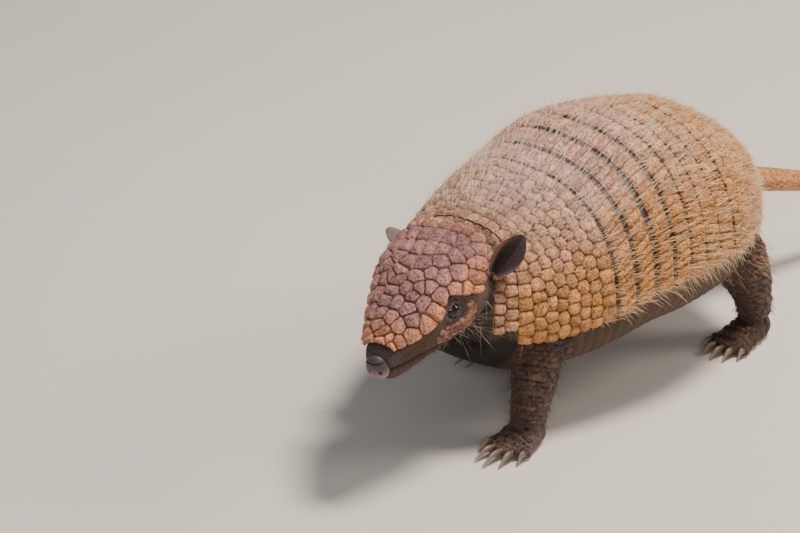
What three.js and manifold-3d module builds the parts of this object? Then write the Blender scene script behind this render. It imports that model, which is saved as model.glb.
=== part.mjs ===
// Six-banded armadillo, life size, walking. Millimetres, +Z up, head towards -Y, its left side at +X.
// The body stands on z = 0. The armour is a set of thick plates over one body shape, the flesh is
// parted into head, neck, trunk, legs and tail, and neighbours keep a gap of 0.3 mm.

import * as THREE from 'three';
import { mergeVertices } from 'three/addons/utils/BufferGeometryUtils.js';
import Module from 'manifold-3d';

const wasm = await Module();
wasm.setup();

// ---- driving dimensions ------------------------------------------------------------------------

const GAP = 0.3;
const CENTRE = new THREE.Vector3(0.7, 59.7, 0);  // middle of the footprint, moved to the origin

// Cross sections of the armour, from the nape to the rump:
// [distance along the body, half width, rise of the crest over the margin, height of the margin]
const ARMOUR = [
  [-145, 51, 62, 89],
  [-100, 76, 81, 83],
  [-40, 93, 96, 88],
  [30, 103, 101, 101.5],
  [100, 91, 94, 101.5],
  [140, 69, 74, 101],
  [165, 43, 45, 102.5],
  [176, 17, 7, 101.5],
];
const ROUNDNESS = 2.46;          // exponent of the section, 2 is an ellipse
const BODY_BEND = 0.00067;       // sideways bow of the spine, per millimetre
const PLATE = 2.8;               // thickness of the armour

const SHOULDER_EDGE = -40;       // rear edge of the shoulder shield
const BAND_PITCH = 19.6;
const BAND_COUNT = 7;
const BAND_LEAN = 3.5;           // how far the crest of each rear joint stands forward
const BAND_JOINT = 1.8;          // open joint between two bands
const BAND_DIP = 0.9;            // depth of a band's front edge under the edge before it
const NAPE_EDGE = -127;          // front edge of the shoulder shield at its margin
const NAPE_ARCH = 20;            // how far that edge lies back at the crest
const NUCHAL_LENGTH = 19;
const RUMP_EDGE = 171;

// Belly depth under the armour's margin: [distance along the body, depth]
const BELLY = [
  [-146, 12],
  [-130, 28],
  [-90, 42],
  [-30, 50],
  [40, 54],
  [100, 50],
  [140, 38],
  [171, 14],
];
const MARGIN_FLARE = 4.5;        // free lip of the armour outside the flank
const UNDER_PLATES = 1.6;        // room between the plates' inner facets and the flesh

// Head sections in the head's own frame:
// [distance ahead of the crown's edge, half width, top, level of the widest part, underside]
const HEAD = [
  [-20, 28, -4, -30, -56],
  [0, 38, 0, -27, -61],
  [25, 39.5, 0.5, -28, -63],
  [52, 33, -4.5, -28, -62],
  [75, 24.5, -12.5, -31, -61],
  [95, 17, -21, -36, -59],
  [108, 13, -27, -40, -56],
  [113, 10, -31, -42, -53],
];
const HEAD_ROUND_TOP = 2.35;
const HEAD_ROUND_JAW = 3.1;
const HEAD_PLACE = new THREE.Vector3(23.3, -147, 173);
const HEAD_TURN = THREE.MathUtils.degToRad(18.3);
const HEAD_NOD = THREE.MathUtils.degToRad(14.2);
const HEAD_TILT = THREE.MathUtils.degToRad(3.8);
const SHIELD_SEAT = 0.9;         // room between the head shield's inner facets and the head
const SHIELD_PLATE = 2.2;        // thickness of the head shield
const EYE = { ahead: 52, out: 28.6, up: -28, radius: 6.2 };
const NOSE = { ahead: 113, up: -41.5, radii: [6, 10, 11] };
const EAR = { ahead: 2, out: 37, up: -29, length: 33, width: 13, cup: 6, wall: 2 };
const EAR_RISE = {               // direction from root to tip, in the head's own frame
  left: [-0.53, 0.5, 0.69],
  right: [-0.55, -0.78, 0.26],
};

const TAIL_NOTCH = 0.8;          // room for the tail in the rump's edge
const TAIL = [
  { at: [2, 150, 110], wide: 13, deep: 12.5 },
  { at: [2, 176, 107], wide: 12.5, deep: 12 },
  { at: [3, 219, 97], wide: 10.5, deep: 10 },
  { at: [4, 269, 81], wide: 8.8, deep: 8.4 },
  { at: [8, 320, 66], wide: 6.6, deep: 6.2 },
  { at: [14, 366, 58], wide: 3.6, deep: 3.4 },
];

// Legs, hip or shoulder first. Feet: wrist or ankle, and the heading of the toes.
const LEGS = {
  foreleg_left: [
    { at: [55, -74, 96], wide: 17, deep: 22 },
    { at: [63, -88, 66], wide: 18, deep: 21 },
    { at: [69, -98, 42], wide: 15.5, deep: 17 },
    { at: [72, -106, 18], wide: 12.5, deep: 13.5 },
  ],
  foreleg_right: [
    { at: [-38, -74, 96], wide: 17, deep: 22 },
    { at: [-46, -56, 66], wide: 17, deep: 21 },
    { at: [-49, -34, 42], wide: 15, deep: 17 },
    { at: [-50, -15, 18], wide: 12.5, deep: 13.5 },
  ],
  hindleg_left: [
    { at: [50, 112, 104], wide: 20, deep: 27 },
    { at: [59, 134, 74], wide: 20, deep: 25 },
    { at: [64, 146, 46], wide: 16, deep: 18 },
    { at: [66, 150, 20], wide: 12, deep: 13 },
  ],
  hindleg_right: [
    { at: [-46, 96, 104], wide: 20, deep: 27 },
    { at: [-57, 86, 74], wide: 20, deep: 25 },
    { at: [-60, 88, 46], wide: 16, deep: 18 },
    { at: [-61, 92, 20], wide: 12, deep: 13 },
  ],
};

const FOREFOOT = {
  sole: [
    { ahead: -15, wide: 10, deep: 8, up: 8 },
    { ahead: -2, wide: 14.5, deep: 14, up: 9 },
    { ahead: 11, wide: 17.5, deep: 10, up: 6.5 },
    { ahead: 19, wide: 15, deep: 6, up: 4.8 },
  ],
  toeBase: 17,
  toes: [10, 13, 14, 12, 9],
  claws: [11, 19, 20, 16, 10],
};
const HINDFOOT = {
  sole: [
    { ahead: -14, wide: 10, deep: 10, up: 9 },
    { ahead: 4, wide: 14, deep: 13, up: 9 },
    { ahead: 24, wide: 17, deep: 9.5, up: 6.5 },
    { ahead: 32, wide: 15, deep: 6, up: 4.8 },
  ],
  toeBase: 30,
  toes: [9, 12, 13, 11, 8.5],
  claws: [9, 13, 14, 12, 8],
};
const FEET = {
  forefoot_left: { plan: FOREFOOT, at: [72, -107], heading: 8, inner: -1 },
  forefoot_right: { plan: FOREFOOT, at: [-50, -14], heading: -4, inner: 1 },
  hindfoot_left: { plan: HINDFOOT, at: [66, 149], heading: 6, inner: -1 },
  hindfoot_right: { plan: HINDFOOT, at: [-61, 90], heading: -8, inner: 1 },
};
const TOE_RADIUS = 5.2;
const TOE_UP = 4.9;
const CLAW_RADIUS = 3.4;

// ---- curves and closed solids ------------------------------------------------------------------

// Smooth curve through the rows of a table that never swings past them (monotone cubic).
function curveThrough(table, column) {
  const xs = table.map((row) => row[0]);
  const ys = table.map((row) => row[column]);
  const last = xs.length - 1;
  const step = xs.slice(1).map((x, i) => x - xs[i]);
  const slope = step.map((h, i) => (ys[i + 1] - ys[i]) / h);
  const tangent = xs.map((x, i) => {
    if (i === 0) return slope[0];
    if (i === last) return slope[last - 1];
    if (slope[i - 1] * slope[i] <= 0) return 0;
    const before = 2 * step[i] + step[i - 1];
    const after = step[i] + 2 * step[i - 1];
    return (before + after) / (before / slope[i - 1] + after / slope[i]);
  });
  return (x) => {
    let i = 0;
    while (i < last - 1 && x > xs[i + 1]) i += 1;
    const t = (x - xs[i]) / step[i];
    return (1 + 2 * t) * (1 - t) ** 2 * ys[i] + t * (1 - t) ** 2 * step[i] * tangent[i]
      + t * t * (3 - 2 * t) * ys[i + 1] + t * t * (t - 1) * step[i] * tangent[i + 1];
  };
}

// Rounded power, the building block of a superellipse.
function bulge(value, exponent) {
  return Math.sign(value) * Math.abs(value) ** (2 / exponent);
}

function toGeometry(points, faces) {
  const geometry = new THREE.BufferGeometry();
  geometry.setAttribute('position', new THREE.Float32BufferAttribute(points.flatMap((p) => p.toArray()), 3));
  geometry.setIndex(faces.flat());
  return geometry;
}

function toSolid(geometry) {
  const bare = mergeVertices(geometry, 1e-4);
  const solid = new wasm.Manifold(new wasm.Mesh({
    numProp: 3,
    vertProperties: bare.getAttribute('position').array,
    triVerts: new Uint32Array(bare.index.array),
  }));
  if (solid.volume() > 0) return solid;
  const flipped = Array.from(bare.index.array).reverse();
  return new wasm.Manifold(new wasm.Mesh({
    numProp: 3,
    vertProperties: bare.getAttribute('position').array,
    triVerts: new Uint32Array(flipped),
  }));
}

// Closed solid through a row of rings with the same number of points, with flat fans at both ends.
function loft(rings) {
  const count = rings[0].length;
  const points = rings.flat();
  const faces = [];
  for (let r = 0; r < rings.length - 1; r += 1) {
    for (let k = 0; k < count; k += 1) {
      const a = r * count + k;
      const b = r * count + (k + 1) % count;
      faces.push([a, b, b + count], [a, b + count, a + count]);
    }
  }
  for (const [r, turned] of [[0, true], [rings.length - 1, false]]) {
    const centre = points.length;
    const middle = new THREE.Vector3();
    rings[r].forEach((p) => middle.add(p));
    points.push(middle.divideScalar(count));
    for (let k = 0; k < count; k += 1) {
      const a = r * count + k;
      const b = r * count + (k + 1) % count;
      faces.push(turned ? [b, a, centre] : [a, b, centre]);
    }
  }
  return toSolid(toGeometry(points, faces));
}

// Closed plate between an outer and an inner surface, both functions of (u, v) from 0 to 1.
function plate(outer, inner, rows, columns) {
  const rings = [];
  for (let i = 0; i <= rows; i += 1) {
    const ring = [];
    for (let j = 0; j <= columns; j += 1) ring.push(outer(i / rows, j / columns));
    for (let j = columns; j >= 0; j -= 1) ring.push(inner(i / rows, j / columns));
    rings.push(ring);
  }
  const count = 2 * (columns + 1);
  const points = rings.flat();
  const faces = [];
  for (let r = 0; r < rows; r += 1) {
    for (let k = 0; k < count; k += 1) {
      const a = r * count + k;
      const b = r * count + (k + 1) % count;
      faces.push([a, b, b + count], [a, b + count, a + count]);
    }
  }
  for (let j = 0; j < columns; j += 1) {
    const far = count - 1 - j;
    faces.push([j + 1, j, far], [j + 1, far, far - 1]);
    const end = rows * count;
    faces.push([end + j, end + j + 1, end + far], [end + far, end + j + 1, end + far - 1]);
  }
  return toSolid(toGeometry(points, faces));
}

// Round limb through stations of { at, wide, deep }, smoothed along its length.
function limb(stations, samples, sides, grow = 0) {
  const path = new THREE.CatmullRomCurve3(stations.map((s) => new THREE.Vector3(...s.at)));
  const girth = new THREE.CatmullRomCurve3(stations.map((s) => new THREE.Vector3(s.wide, s.deep, 0)));
  const rings = [];
  for (let i = 0; i <= samples; i += 1) {
    const t = i / samples;
    const centre = path.getPoint(t);
    const along = path.getTangent(t);
    const size = girth.getPoint(t);
    const side = new THREE.Vector3(1, 0, 0).addScaledVector(along, -along.x).normalize();
    const front = new THREE.Vector3().crossVectors(along, side);
    const ring = [];
    for (let k = 0; k < sides; k += 1) {
      const angle = (k / sides) * 2 * Math.PI;
      ring.push(centre.clone()
        .addScaledVector(side, (size.x + grow) * Math.cos(angle))
        .addScaledVector(front, (size.y + grow) * Math.sin(angle)));
    }
    rings.push(ring);
  }
  return loft(rings);
}

function slab(low, high) {
  const size = new THREE.Vector3().subVectors(high, low);
  const box = new THREE.BoxGeometry(size.x, size.y, size.z);
  box.translate(low.x + size.x / 2, low.y + size.y / 2, low.z + size.z / 2);
  box.deleteAttribute('normal');
  box.deleteAttribute('uv');
  return toSolid(box);
}

const BELOW_FLOOR = slab(new THREE.Vector3(-200, -300, -60), new THREE.Vector3(200, 300, 0));

// ---- body shape --------------------------------------------------------------------------------

const halfWidthAt = curveThrough(ARMOUR, 1);
const riseAt = curveThrough(ARMOUR, 2);
const marginAt = curveThrough(ARMOUR, 3);
const bellyAt = curveThrough(BELLY, 1);

// Point of the body's section at y: across is in the section's own plane, before the body bends.
function bentPoint(y, across, height) {
  const yaw = Math.atan(2 * BODY_BEND * y);
  return new THREE.Vector3(
    BODY_BEND * y * y + across * Math.cos(yaw),
    y - across * Math.sin(yaw),
    height,
  );
}

function armourSurface(y, angle) {
  const across = halfWidthAt(y) * bulge(Math.sin(angle), ROUNDNESS);
  const height = marginAt(y) + riseAt(y) * bulge(Math.cos(angle), ROUNDNESS);
  return bentPoint(y, across, height);
}

// The armour's surface, sunk by a depth along its own normal.
function armourPoint(y, angle, depth) {
  const d = 0.01;
  const along = armourSurface(y + d, angle).sub(armourSurface(y - d, angle));
  const around = armourSurface(y, angle + d).sub(armourSurface(y, angle - d));
  const normal = along.cross(around).normalize();
  if (normal.z < -0.2) normal.negate();
  const outward = armourSurface(y, angle).sub(bentPoint(y, 0, marginAt(y)));
  if (normal.dot(outward) < 0) normal.negate();
  return armourSurface(y, angle).addScaledVector(normal, -depth);
}

const ARCH_SIDES = 22;
const MARGIN_ANGLE = Math.PI / 2;
const LAST_ANGLE = MARGIN_ANGLE - 0.02;

function jointAt(index, angle) {
  const lean = BAND_LEAN * Math.max(0, index - 4) * Math.cos(angle) ** 2;
  return SHOULDER_EDGE + BAND_PITCH * index - lean;
}

function napeAt(angle) {
  return NAPE_EDGE + NAPE_ARCH * Math.cos(angle) ** 2;
}

// Plate of the armour between two edges, each a function of the angle round the body.
function armourPlate(front, rear, rows, columns, dip) {
  const surface = (depth) => (u, v) => {
    const angle = THREE.MathUtils.lerp(-LAST_ANGLE, LAST_ANGLE, v);
    const y = THREE.MathUtils.lerp(front(angle), rear(angle), u);
    return armourPoint(y, angle, depth + dip * (1 - u));
  };
  return plate(surface(0), surface(PLATE), rows, columns);
}

// Ring round the trunk under the armour, grown by a clearance where it cuts a neighbour.
function trunkRing(y, sides, grow) {
  const ring = [];
  for (let k = 0; k < sides; k += 1) {
    const angle = Math.PI * (-1 + (2 * k) / sides);
    const flare = MARGIN_FLARE * Math.abs(Math.sin(angle)) ** 8;
    const depth = PLATE + BAND_DIP + UNDER_PLATES + flare - grow;
    if (Math.abs(angle) <= MARGIN_ANGLE + 1e-6) {
      const limit = THREE.MathUtils.clamp(angle, -LAST_ANGLE, LAST_ANGLE);
      ring.push(armourPoint(y, limit, depth));
    } else {
      const across = (halfWidthAt(y) - depth) * bulge(Math.sin(angle), 2.3);
      const height = marginAt(y) + (bellyAt(y) + grow) * bulge(Math.cos(angle), 2.3);
      ring.push(bentPoint(y, across, height));
    }
  }
  return ring;
}

const TRUNK_SIDES = 24;

function trunkSolid(grow) {
  const stations = [-128 - grow, -105, -75, -40, 0, 40, 75, 105, 130, 150, 163, 169 + grow];
  return loft(stations.map((y) => trunkRing(y, TRUNK_SIDES, grow)));
}

// Everything under the armour's outer face between two distances along the body, margin and above.
function hoodSolid(from, to, samples, grow) {
  const rings = [];
  for (let i = 0; i <= samples; i += 1) {
    const ring = [];
    const y = THREE.MathUtils.lerp(from, to, i / samples);
    for (let k = 0; k <= TRUNK_SIDES; k += 1) {
      const angle = THREE.MathUtils.lerp(-LAST_ANGLE, LAST_ANGLE, k / TRUNK_SIDES);
      ring.push(armourPoint(y, angle, -grow));
    }
    const right = ring[0].clone();
    const left = ring[ring.length - 1].clone();
    right.z -= grow;
    left.z -= grow;
    ring.push(left, right);
    rings.push(ring);
  }
  return loft(rings);
}

// ---- head --------------------------------------------------------------------------------------

const headWidthAt = curveThrough(HEAD, 1);
const headTopAt = curveThrough(HEAD, 2);
const headLevelAt = curveThrough(HEAD, 3);
const headUnderAt = curveThrough(HEAD, 4);

// Frame of the head: x ahead, y to its left, z up through the crown.
function headFrame() {
  const ahead = new THREE.Vector3(0, -1, 0);
  const left = new THREE.Vector3(1, 0, 0);
  const up = new THREE.Vector3(0, 0, 1);
  const turn = new THREE.Matrix4().makeRotationAxis(up, HEAD_TURN);
  ahead.applyMatrix4(turn);
  left.applyMatrix4(turn);
  const nod = new THREE.Matrix4().makeRotationAxis(left, HEAD_NOD);
  ahead.applyMatrix4(nod);
  up.applyMatrix4(nod);
  const tilt = new THREE.Matrix4().makeRotationAxis(ahead, HEAD_TILT);
  left.applyMatrix4(tilt);
  up.applyMatrix4(tilt);
  return new THREE.Matrix4().makeBasis(ahead, left, up).setPosition(HEAD_PLACE);
}

const HEAD_FRAME = headFrame();

function headPoint(ahead, angle, lift) {
  const top = Math.abs(angle) <= Math.PI / 2;
  const round = top ? HEAD_ROUND_TOP : HEAD_ROUND_JAW;
  const level = headLevelAt(ahead);
  const reach = top ? headTopAt(ahead) - level : level - headUnderAt(ahead);
  return new THREE.Vector3(
    ahead,
    (headWidthAt(ahead) + lift) * bulge(Math.sin(angle), round),
    level + (reach + lift) * bulge(Math.cos(angle), round),
  ).applyMatrix4(HEAD_FRAME);
}

const HEAD_SIDES = 20;

function headRing(ahead, grow) {
  const ring = [];
  for (let k = 0; k < HEAD_SIDES; k += 1) {
    ring.push(headPoint(ahead, Math.PI * (-1 + (2 * k) / HEAD_SIDES), grow));
  }
  return ring;
}

function headSolid(grow) {
  const stations = [-18, -6, 8, 24, 42, 58, 74, 88, 99, 107, 111];
  return loft(stations.map((ahead) => headRing(ahead, grow)));
}

function headBall(ahead, out, up, radii) {
  const ball = new THREE.SphereGeometry(1, 12, 6);
  ball.scale(...radii);
  ball.translate(ahead, out, up);
  ball.applyMatrix4(HEAD_FRAME);
  ball.deleteAttribute('normal');
  ball.deleteAttribute('uv');
  return toSolid(ball);
}

function eyeSolid(side, grow) {
  const radius = EYE.radius + grow;
  return headBall(EYE.ahead, side * EYE.out, EYE.up, [radius, radius, radius]);
}

// Edge of the head shield: how far it reaches down each side, and where its rear edge runs.
const SHIELD_SIDE = curveThrough([
  [-12, 88],
  [24, 90],
  [42, 80],
  [55, 63],
  [64, 78],
  [73, 88],
  [95, 74],
  [108, 50],
], 1);
const SHIELD_REAR = curveThrough([
  [0, -11],
  [45, -9],
  [60, 3],
  [75, 15],
  [92, 24],
], 1);
const SHIELD_TIP = 107;

function headShieldSolid() {
  const surface = (lift) => (u, v) => {
    const spread = 2 * v - 1;
    const rear = SHIELD_REAR(Math.abs(spread) * 90);
    const ahead = THREE.MathUtils.lerp(rear, SHIELD_TIP, u);
    const angle = spread * THREE.MathUtils.degToRad(SHIELD_SIDE(ahead));
    return headPoint(ahead, angle, lift);
  };
  return plate(surface(SHIELD_SEAT + SHIELD_PLATE), surface(SHIELD_SEAT), 8, 12);
}

// Ear: a cupped leaf that leans back and out from the corner of the head, open to the front.
function earSolid(name, side) {
  const root = new THREE.Vector3(EAR.ahead, side * EAR.out, EAR.up);
  const rise = new THREE.Vector3(...EAR_RISE[name]).normalize();
  const hollow = new THREE.Vector3(0.78, side * 0.5, 0.36);
  hollow.addScaledVector(rise, -hollow.dot(rise)).normalize();
  const across = new THREE.Vector3().crossVectors(rise, hollow);
  const surface = (depth) => (u, v) => {
    const spread = 2 * v - 1;
    const width = EAR.width * Math.sin(Math.PI * (0.16 + 0.8 * u)) ** 0.7;
    const cup = EAR.cup * (1 - spread * spread) + depth;
    return root.clone()
      .addScaledVector(rise, EAR.length * u)
      .addScaledVector(across, width * spread)
      .addScaledVector(hollow, -cup)
      .applyMatrix4(HEAD_FRAME);
  };
  return plate(surface(EAR.wall), surface(0), 6, 6);
}

// ---- feet --------------------------------------------------------------------------------------

// Foot frame: ahead, inner side, up, standing on the floor.
function footFrame(foot) {
  const heading = THREE.MathUtils.degToRad(foot.heading);
  const ahead = new THREE.Vector3(Math.sin(heading), -Math.cos(heading), 0);
  const inner = new THREE.Vector3(foot.inner * Math.cos(heading), foot.inner * Math.sin(heading), 0);
  const up = new THREE.Vector3(0, 0, 1);
  return (a, s, z) => new THREE.Vector3(foot.at[0], foot.at[1], 0)
    .addScaledVector(ahead, a)
    .addScaledVector(inner, s)
    .addScaledVector(up, z);
}

// Each toe's root and end in the foot frame, fanned across the sole from the inner side.
function toeLine(plan, index) {
  const spread = 2 - index;
  const root = [plan.toeBase - 0.9 * spread * spread, 6.9 * spread];
  const fan = 0.1 * spread;
  const reach = plan.toes[index];
  return { root, fan, end: [root[0] + reach * Math.cos(fan), root[1] + reach * Math.sin(fan)] };
}

const SOLE_SIDES = 8;

function footSolid(foot) {
  const place = footFrame(foot);
  const rings = foot.plan.sole.map((s) => {
    const ring = [];
    for (let k = 0; k < SOLE_SIDES; k += 1) {
      const angle = (k / SOLE_SIDES) * 2 * Math.PI;
      ring.push(place(s.ahead, s.wide * Math.cos(angle), s.up + s.deep * Math.sin(angle)));
    }
    return ring;
  });
  let solid = loft(rings);
  foot.plan.toes.forEach((reach, index) => {
    const toe = toeLine(foot.plan, index);
    const rows = [[0, 0.9], [0.6, 1.06], [1, 0.86]];
    solid = solid.add(loft(rows.map(([t, size]) => {
      const ring = [];
      const a = THREE.MathUtils.lerp(toe.root[0], toe.end[0], t);
      const s = THREE.MathUtils.lerp(toe.root[1], toe.end[1], t);
      for (let k = 0; k < 6; k += 1) {
        const angle = (k / 6) * 2 * Math.PI;
        const out = TOE_RADIUS * size * Math.cos(angle);
        const up = TOE_RADIUS * size * Math.sin(angle);
        ring.push(place(a - out * Math.sin(toe.fan), s + out * Math.cos(toe.fan), TOE_UP + up));
      }
      return ring;
    })));
  });
  return solid.subtract(BELOW_FLOOR);
}

// Claw: a cone that curves forward and down from the end of its toe, just clear of the floor.
function clawSolid(foot, index) {
  const place = footFrame(foot);
  const toe = toeLine(foot.plan, index);
  const reach = foot.plan.claws[index];
  const rings = [0, 0.35, 0.7, 1].map((t) => {
    const radius = CLAW_RADIUS * (1 - 0.82 * t ** 1.4);
    const ahead = GAP + reach * t;
    const up = TOE_UP + 0.6 + 1.2 * Math.sin(Math.PI * Math.min(1, 1.3 * t)) - 3.4 * t * t;
    const ring = [];
    for (let k = 0; k < 5; k += 1) {
      const angle = (k / 5 + 0.25) * 2 * Math.PI;
      const out = 0.8 * radius * Math.cos(angle);
      const a = toe.end[0] + ahead * Math.cos(toe.fan) - out * Math.sin(toe.fan);
      const s = toe.end[1] + ahead * Math.sin(toe.fan) + out * Math.cos(toe.fan);
      ring.push(place(a, s, up + radius * Math.sin(angle)));
    }
    return ring;
  });
  return loft(rings);
}

// ---- neck --------------------------------------------------------------------------------------

function neckSolid(grow) {
  const front = trunkRing(-144, HEAD_SIDES, grow);
  const head = headRing(2, grow - 2);
  const between = front.map((p, k) => p.clone().lerp(head[k], 0.5));
  return loft([trunkRing(-122, HEAD_SIDES, grow), trunkRing(-133, HEAD_SIDES, grow), front, between, head]);
}

// ---- assembly ----------------------------------------------------------------------------------

const SKIN = { color: '#5a4a44', roughness: 0.75 };
const HORN = { color: '#b98f78', roughness: 0.6 };
const CLAW = { color: '#4c423c', roughness: 0.45 };

const armadillo = new THREE.Group();
armadillo.position.copy(CENTRE).negate();

// A cut can leave loose slivers beside the piece, so only its largest body is kept.
function addPiece(name, solid, finish) {
  const bodies = solid.decompose();
  bodies.sort((a, b) => b.volume() - a.volume());
  const mesh = bodies[0].getMesh();
  const geometry = new THREE.BufferGeometry();
  geometry.setAttribute('position', new THREE.BufferAttribute(mesh.vertProperties, 3));
  geometry.setIndex(new THREE.BufferAttribute(mesh.triVerts, 1));
  geometry.computeVertexNormals();
  const material = new THREE.MeshStandardMaterial({ metalness: 0, ...finish });
  const piece = new THREE.Mesh(geometry, material);
  piece.name = name;
  armadillo.add(piece);
}

function addArmour() {
  const nuchalFront = (angle) => napeAt(angle) - BAND_JOINT - NUCHAL_LENGTH;
  const nuchalRear = (angle) => napeAt(angle) - BAND_JOINT;
  const nuchal = armourPlate(nuchalFront, nuchalRear, 1, 18, BAND_DIP);
  addPiece('nuchal_band', nuchal.subtract(headSolid(GAP + 0.5)), HORN);
  const half = BAND_JOINT / 2;
  const scapularRear = (angle) => jointAt(0, angle) - half;
  addPiece('scapular_shield', armourPlate(napeAt, scapularRear, 4, ARCH_SIDES, 0), HORN);
  for (let i = 0; i < BAND_COUNT; i += 1) {
    const front = (angle) => jointAt(i, angle) + half;
    const rear = (angle) => jointAt(i + 1, angle) - half;
    addPiece(`band_${i + 1}`, armourPlate(front, rear, 1, ARCH_SIDES, BAND_DIP), HORN);
  }
  const front = (angle) => jointAt(BAND_COUNT, angle) + half;
  const pelvic = armourPlate(front, () => RUMP_EDGE, 6, ARCH_SIDES, BAND_DIP);
  addPiece('pelvic_shield', pelvic.subtract(limb(TAIL, 10, 10, TAIL_NOTCH)), HORN);
}

function addHead() {
  const nose = headBall(NOSE.ahead, 0, NOSE.up, NOSE.radii);
  const noseCut = headBall(NOSE.ahead, 0, NOSE.up, NOSE.radii.map((r) => r + GAP));
  let head = headSolid(0).subtract(noseCut).subtract(trunkSolid(GAP));
  for (const [name, side] of [['left', 1], ['right', -1]]) {
    head = head.subtract(eyeSolid(side, GAP));
    addPiece(`eye_${name}`, eyeSolid(side, 0), { color: '#120d0b', roughness: 0.1 });
    const ear = earSolid(name, side).subtract(headSolid(GAP)).subtract(neckSolid(3 * GAP));
    addPiece(`ear_${name}`, ear, SKIN);
  }
  addPiece('head', head, SKIN);
  addPiece('head_shield', headShieldSolid().subtract(headSolid(GAP)), HORN);
  addPiece('nose', nose, { color: '#8c6a72', roughness: 0.5 });
}

function addFlesh() {
  const trunkCut = trunkSolid(GAP);
  addPiece('trunk', trunkSolid(0), SKIN);
  addPiece('neck', neckSolid(0).subtract(trunkCut).subtract(headSolid(GAP)), SKIN);
  addPiece('tail', limb(TAIL, 10, 10).subtract(trunkCut), HORN);
  const hood = hoodSolid(-140, 170, 12, GAP);
  for (const [name, stations] of Object.entries(LEGS)) {
    const leg = limb(stations, 6, 12).subtract(trunkCut).subtract(hood);
    addPiece(name, leg, SKIN);
  }
  for (const [name, foot] of Object.entries(FEET)) {
    const legName = name.replace('foot', 'leg');
    addPiece(name, footSolid(foot).subtract(limb(LEGS[legName], 6, 12, GAP)), SKIN);
    foot.plan.claws.forEach((reach, index) => {
      addPiece(`claw_${name.replace('foot', '')}_${index + 1}`, clawSolid(foot, index), CLAW);
    });
  }
}

addArmour();
addHead();
addFlesh();

export default armadillo;
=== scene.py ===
"""Six-banded armadillo, life size and walking: armour, hide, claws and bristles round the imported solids.

Shapes are worked out in millimetres in the body's own frame (head towards -Y, its left side at +X, floor
at z = 0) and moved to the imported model's frame, in metres, as each mesh is made.
"""
import math

import bmesh
import bpy
import numpy as np
from mathutils import Matrix, Vector
from mathutils.bvhtree import BVHTree


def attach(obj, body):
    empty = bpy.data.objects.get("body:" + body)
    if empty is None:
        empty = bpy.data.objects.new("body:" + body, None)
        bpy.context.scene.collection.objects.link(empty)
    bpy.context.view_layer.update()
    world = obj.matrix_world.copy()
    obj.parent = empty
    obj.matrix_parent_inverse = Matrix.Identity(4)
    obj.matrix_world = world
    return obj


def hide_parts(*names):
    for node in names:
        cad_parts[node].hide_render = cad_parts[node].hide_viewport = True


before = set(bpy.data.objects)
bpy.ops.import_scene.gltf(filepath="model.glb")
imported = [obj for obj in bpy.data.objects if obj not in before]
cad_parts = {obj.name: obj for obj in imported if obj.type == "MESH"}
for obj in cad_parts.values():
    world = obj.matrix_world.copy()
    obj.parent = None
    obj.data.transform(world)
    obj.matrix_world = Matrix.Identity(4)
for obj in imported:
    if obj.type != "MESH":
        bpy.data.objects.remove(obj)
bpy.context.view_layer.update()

bl_info = {
    "name": "Six-banded armadillo",
    "version": (1, 0, 0),
    "blender": (4, 5, 0),
    "location": "3D View > Sidebar > Armadillo",
    "description": "Life-size walking armadillo with scutes, hide, claws and bristles",
    "category": "Add Mesh",
}

MM = 0.001
CENTRE = np.array([0.7, 59.7, 0.0])  # middle of the footprint in the body's frame
HALF_PI = math.pi / 2

# ---- the body's shape, the same numbers as the solids ----------------------------------------------

# distance along the body, half width, rise of the crest over the margin, height of the margin
ARMOUR = [
    (-145, 51, 62, 89), (-100, 76, 81, 83), (-40, 93, 96, 88), (30, 103, 101, 101.5),
    (100, 91, 94, 101.5), (140, 69, 74, 101), (165, 43, 45, 102.5), (176, 17, 7, 101.5),
]
ROUNDNESS = 2.46
BODY_BEND = 0.00067
PLATE = 2.8
SHOULDER_EDGE = -40
BAND_PITCH = 19.6
BAND_COUNT = 7
BAND_LEAN = 3.5
NAPE_EDGE = -127
NAPE_ARCH = 20
RUMP_EDGE = 171
LAST_ANGLE = HALF_PI - 0.02
BELLY = [(-146, 12), (-130, 28), (-90, 42), (-30, 50), (40, 54), (100, 50), (140, 38), (171, 14)]
BELLY_ROUNDNESS = 2.3
MARGIN_FLARE = 4.5
JOINT_SKIN = 2.3  # depth of the bare skin in the joints between bands

# distance ahead of the crown's edge, half width, top, level of the widest part, underside
HEAD = [
    (-20, 28, -4, -30, -56), (0, 38, 0, -27, -61), (25, 39.5, 0.5, -28, -63), (52, 33, -4.5, -28, -62),
    (75, 24.5, -12.5, -31, -61), (95, 17, -21, -36, -59), (108, 13, -27, -40, -56), (113, 10, -31, -42, -53),
]
HEAD_ROUND_TOP = 2.35
HEAD_ROUND_JAW = 3.1
HEAD_PLACE = (23.3, -147, 173)
HEAD_TURN, HEAD_NOD, HEAD_TILT = 18.3, 14.2, 3.8
SHIELD_LIFT = 3.1
SHIELD_PLATE = 2.2
SHIELD_SIDE = [(-12, 88), (24, 90), (42, 80), (55, 63), (64, 78), (73, 88), (95, 74), (108, 50)]
SHIELD_REAR = [(0, -7), (45, -5), (60, 6.5), (75, 19), (92, 28)]
SHIELD_TIP = 107
EYE_AHEAD, EYE_OUT, EYE_UP, EYE_RADIUS = 51.5, 28.2, -29.6, 7.1
NOSE_AHEAD, NOSE_UP = 113, -41.5
NOSE_RADII = (6, 10, 11)

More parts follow.
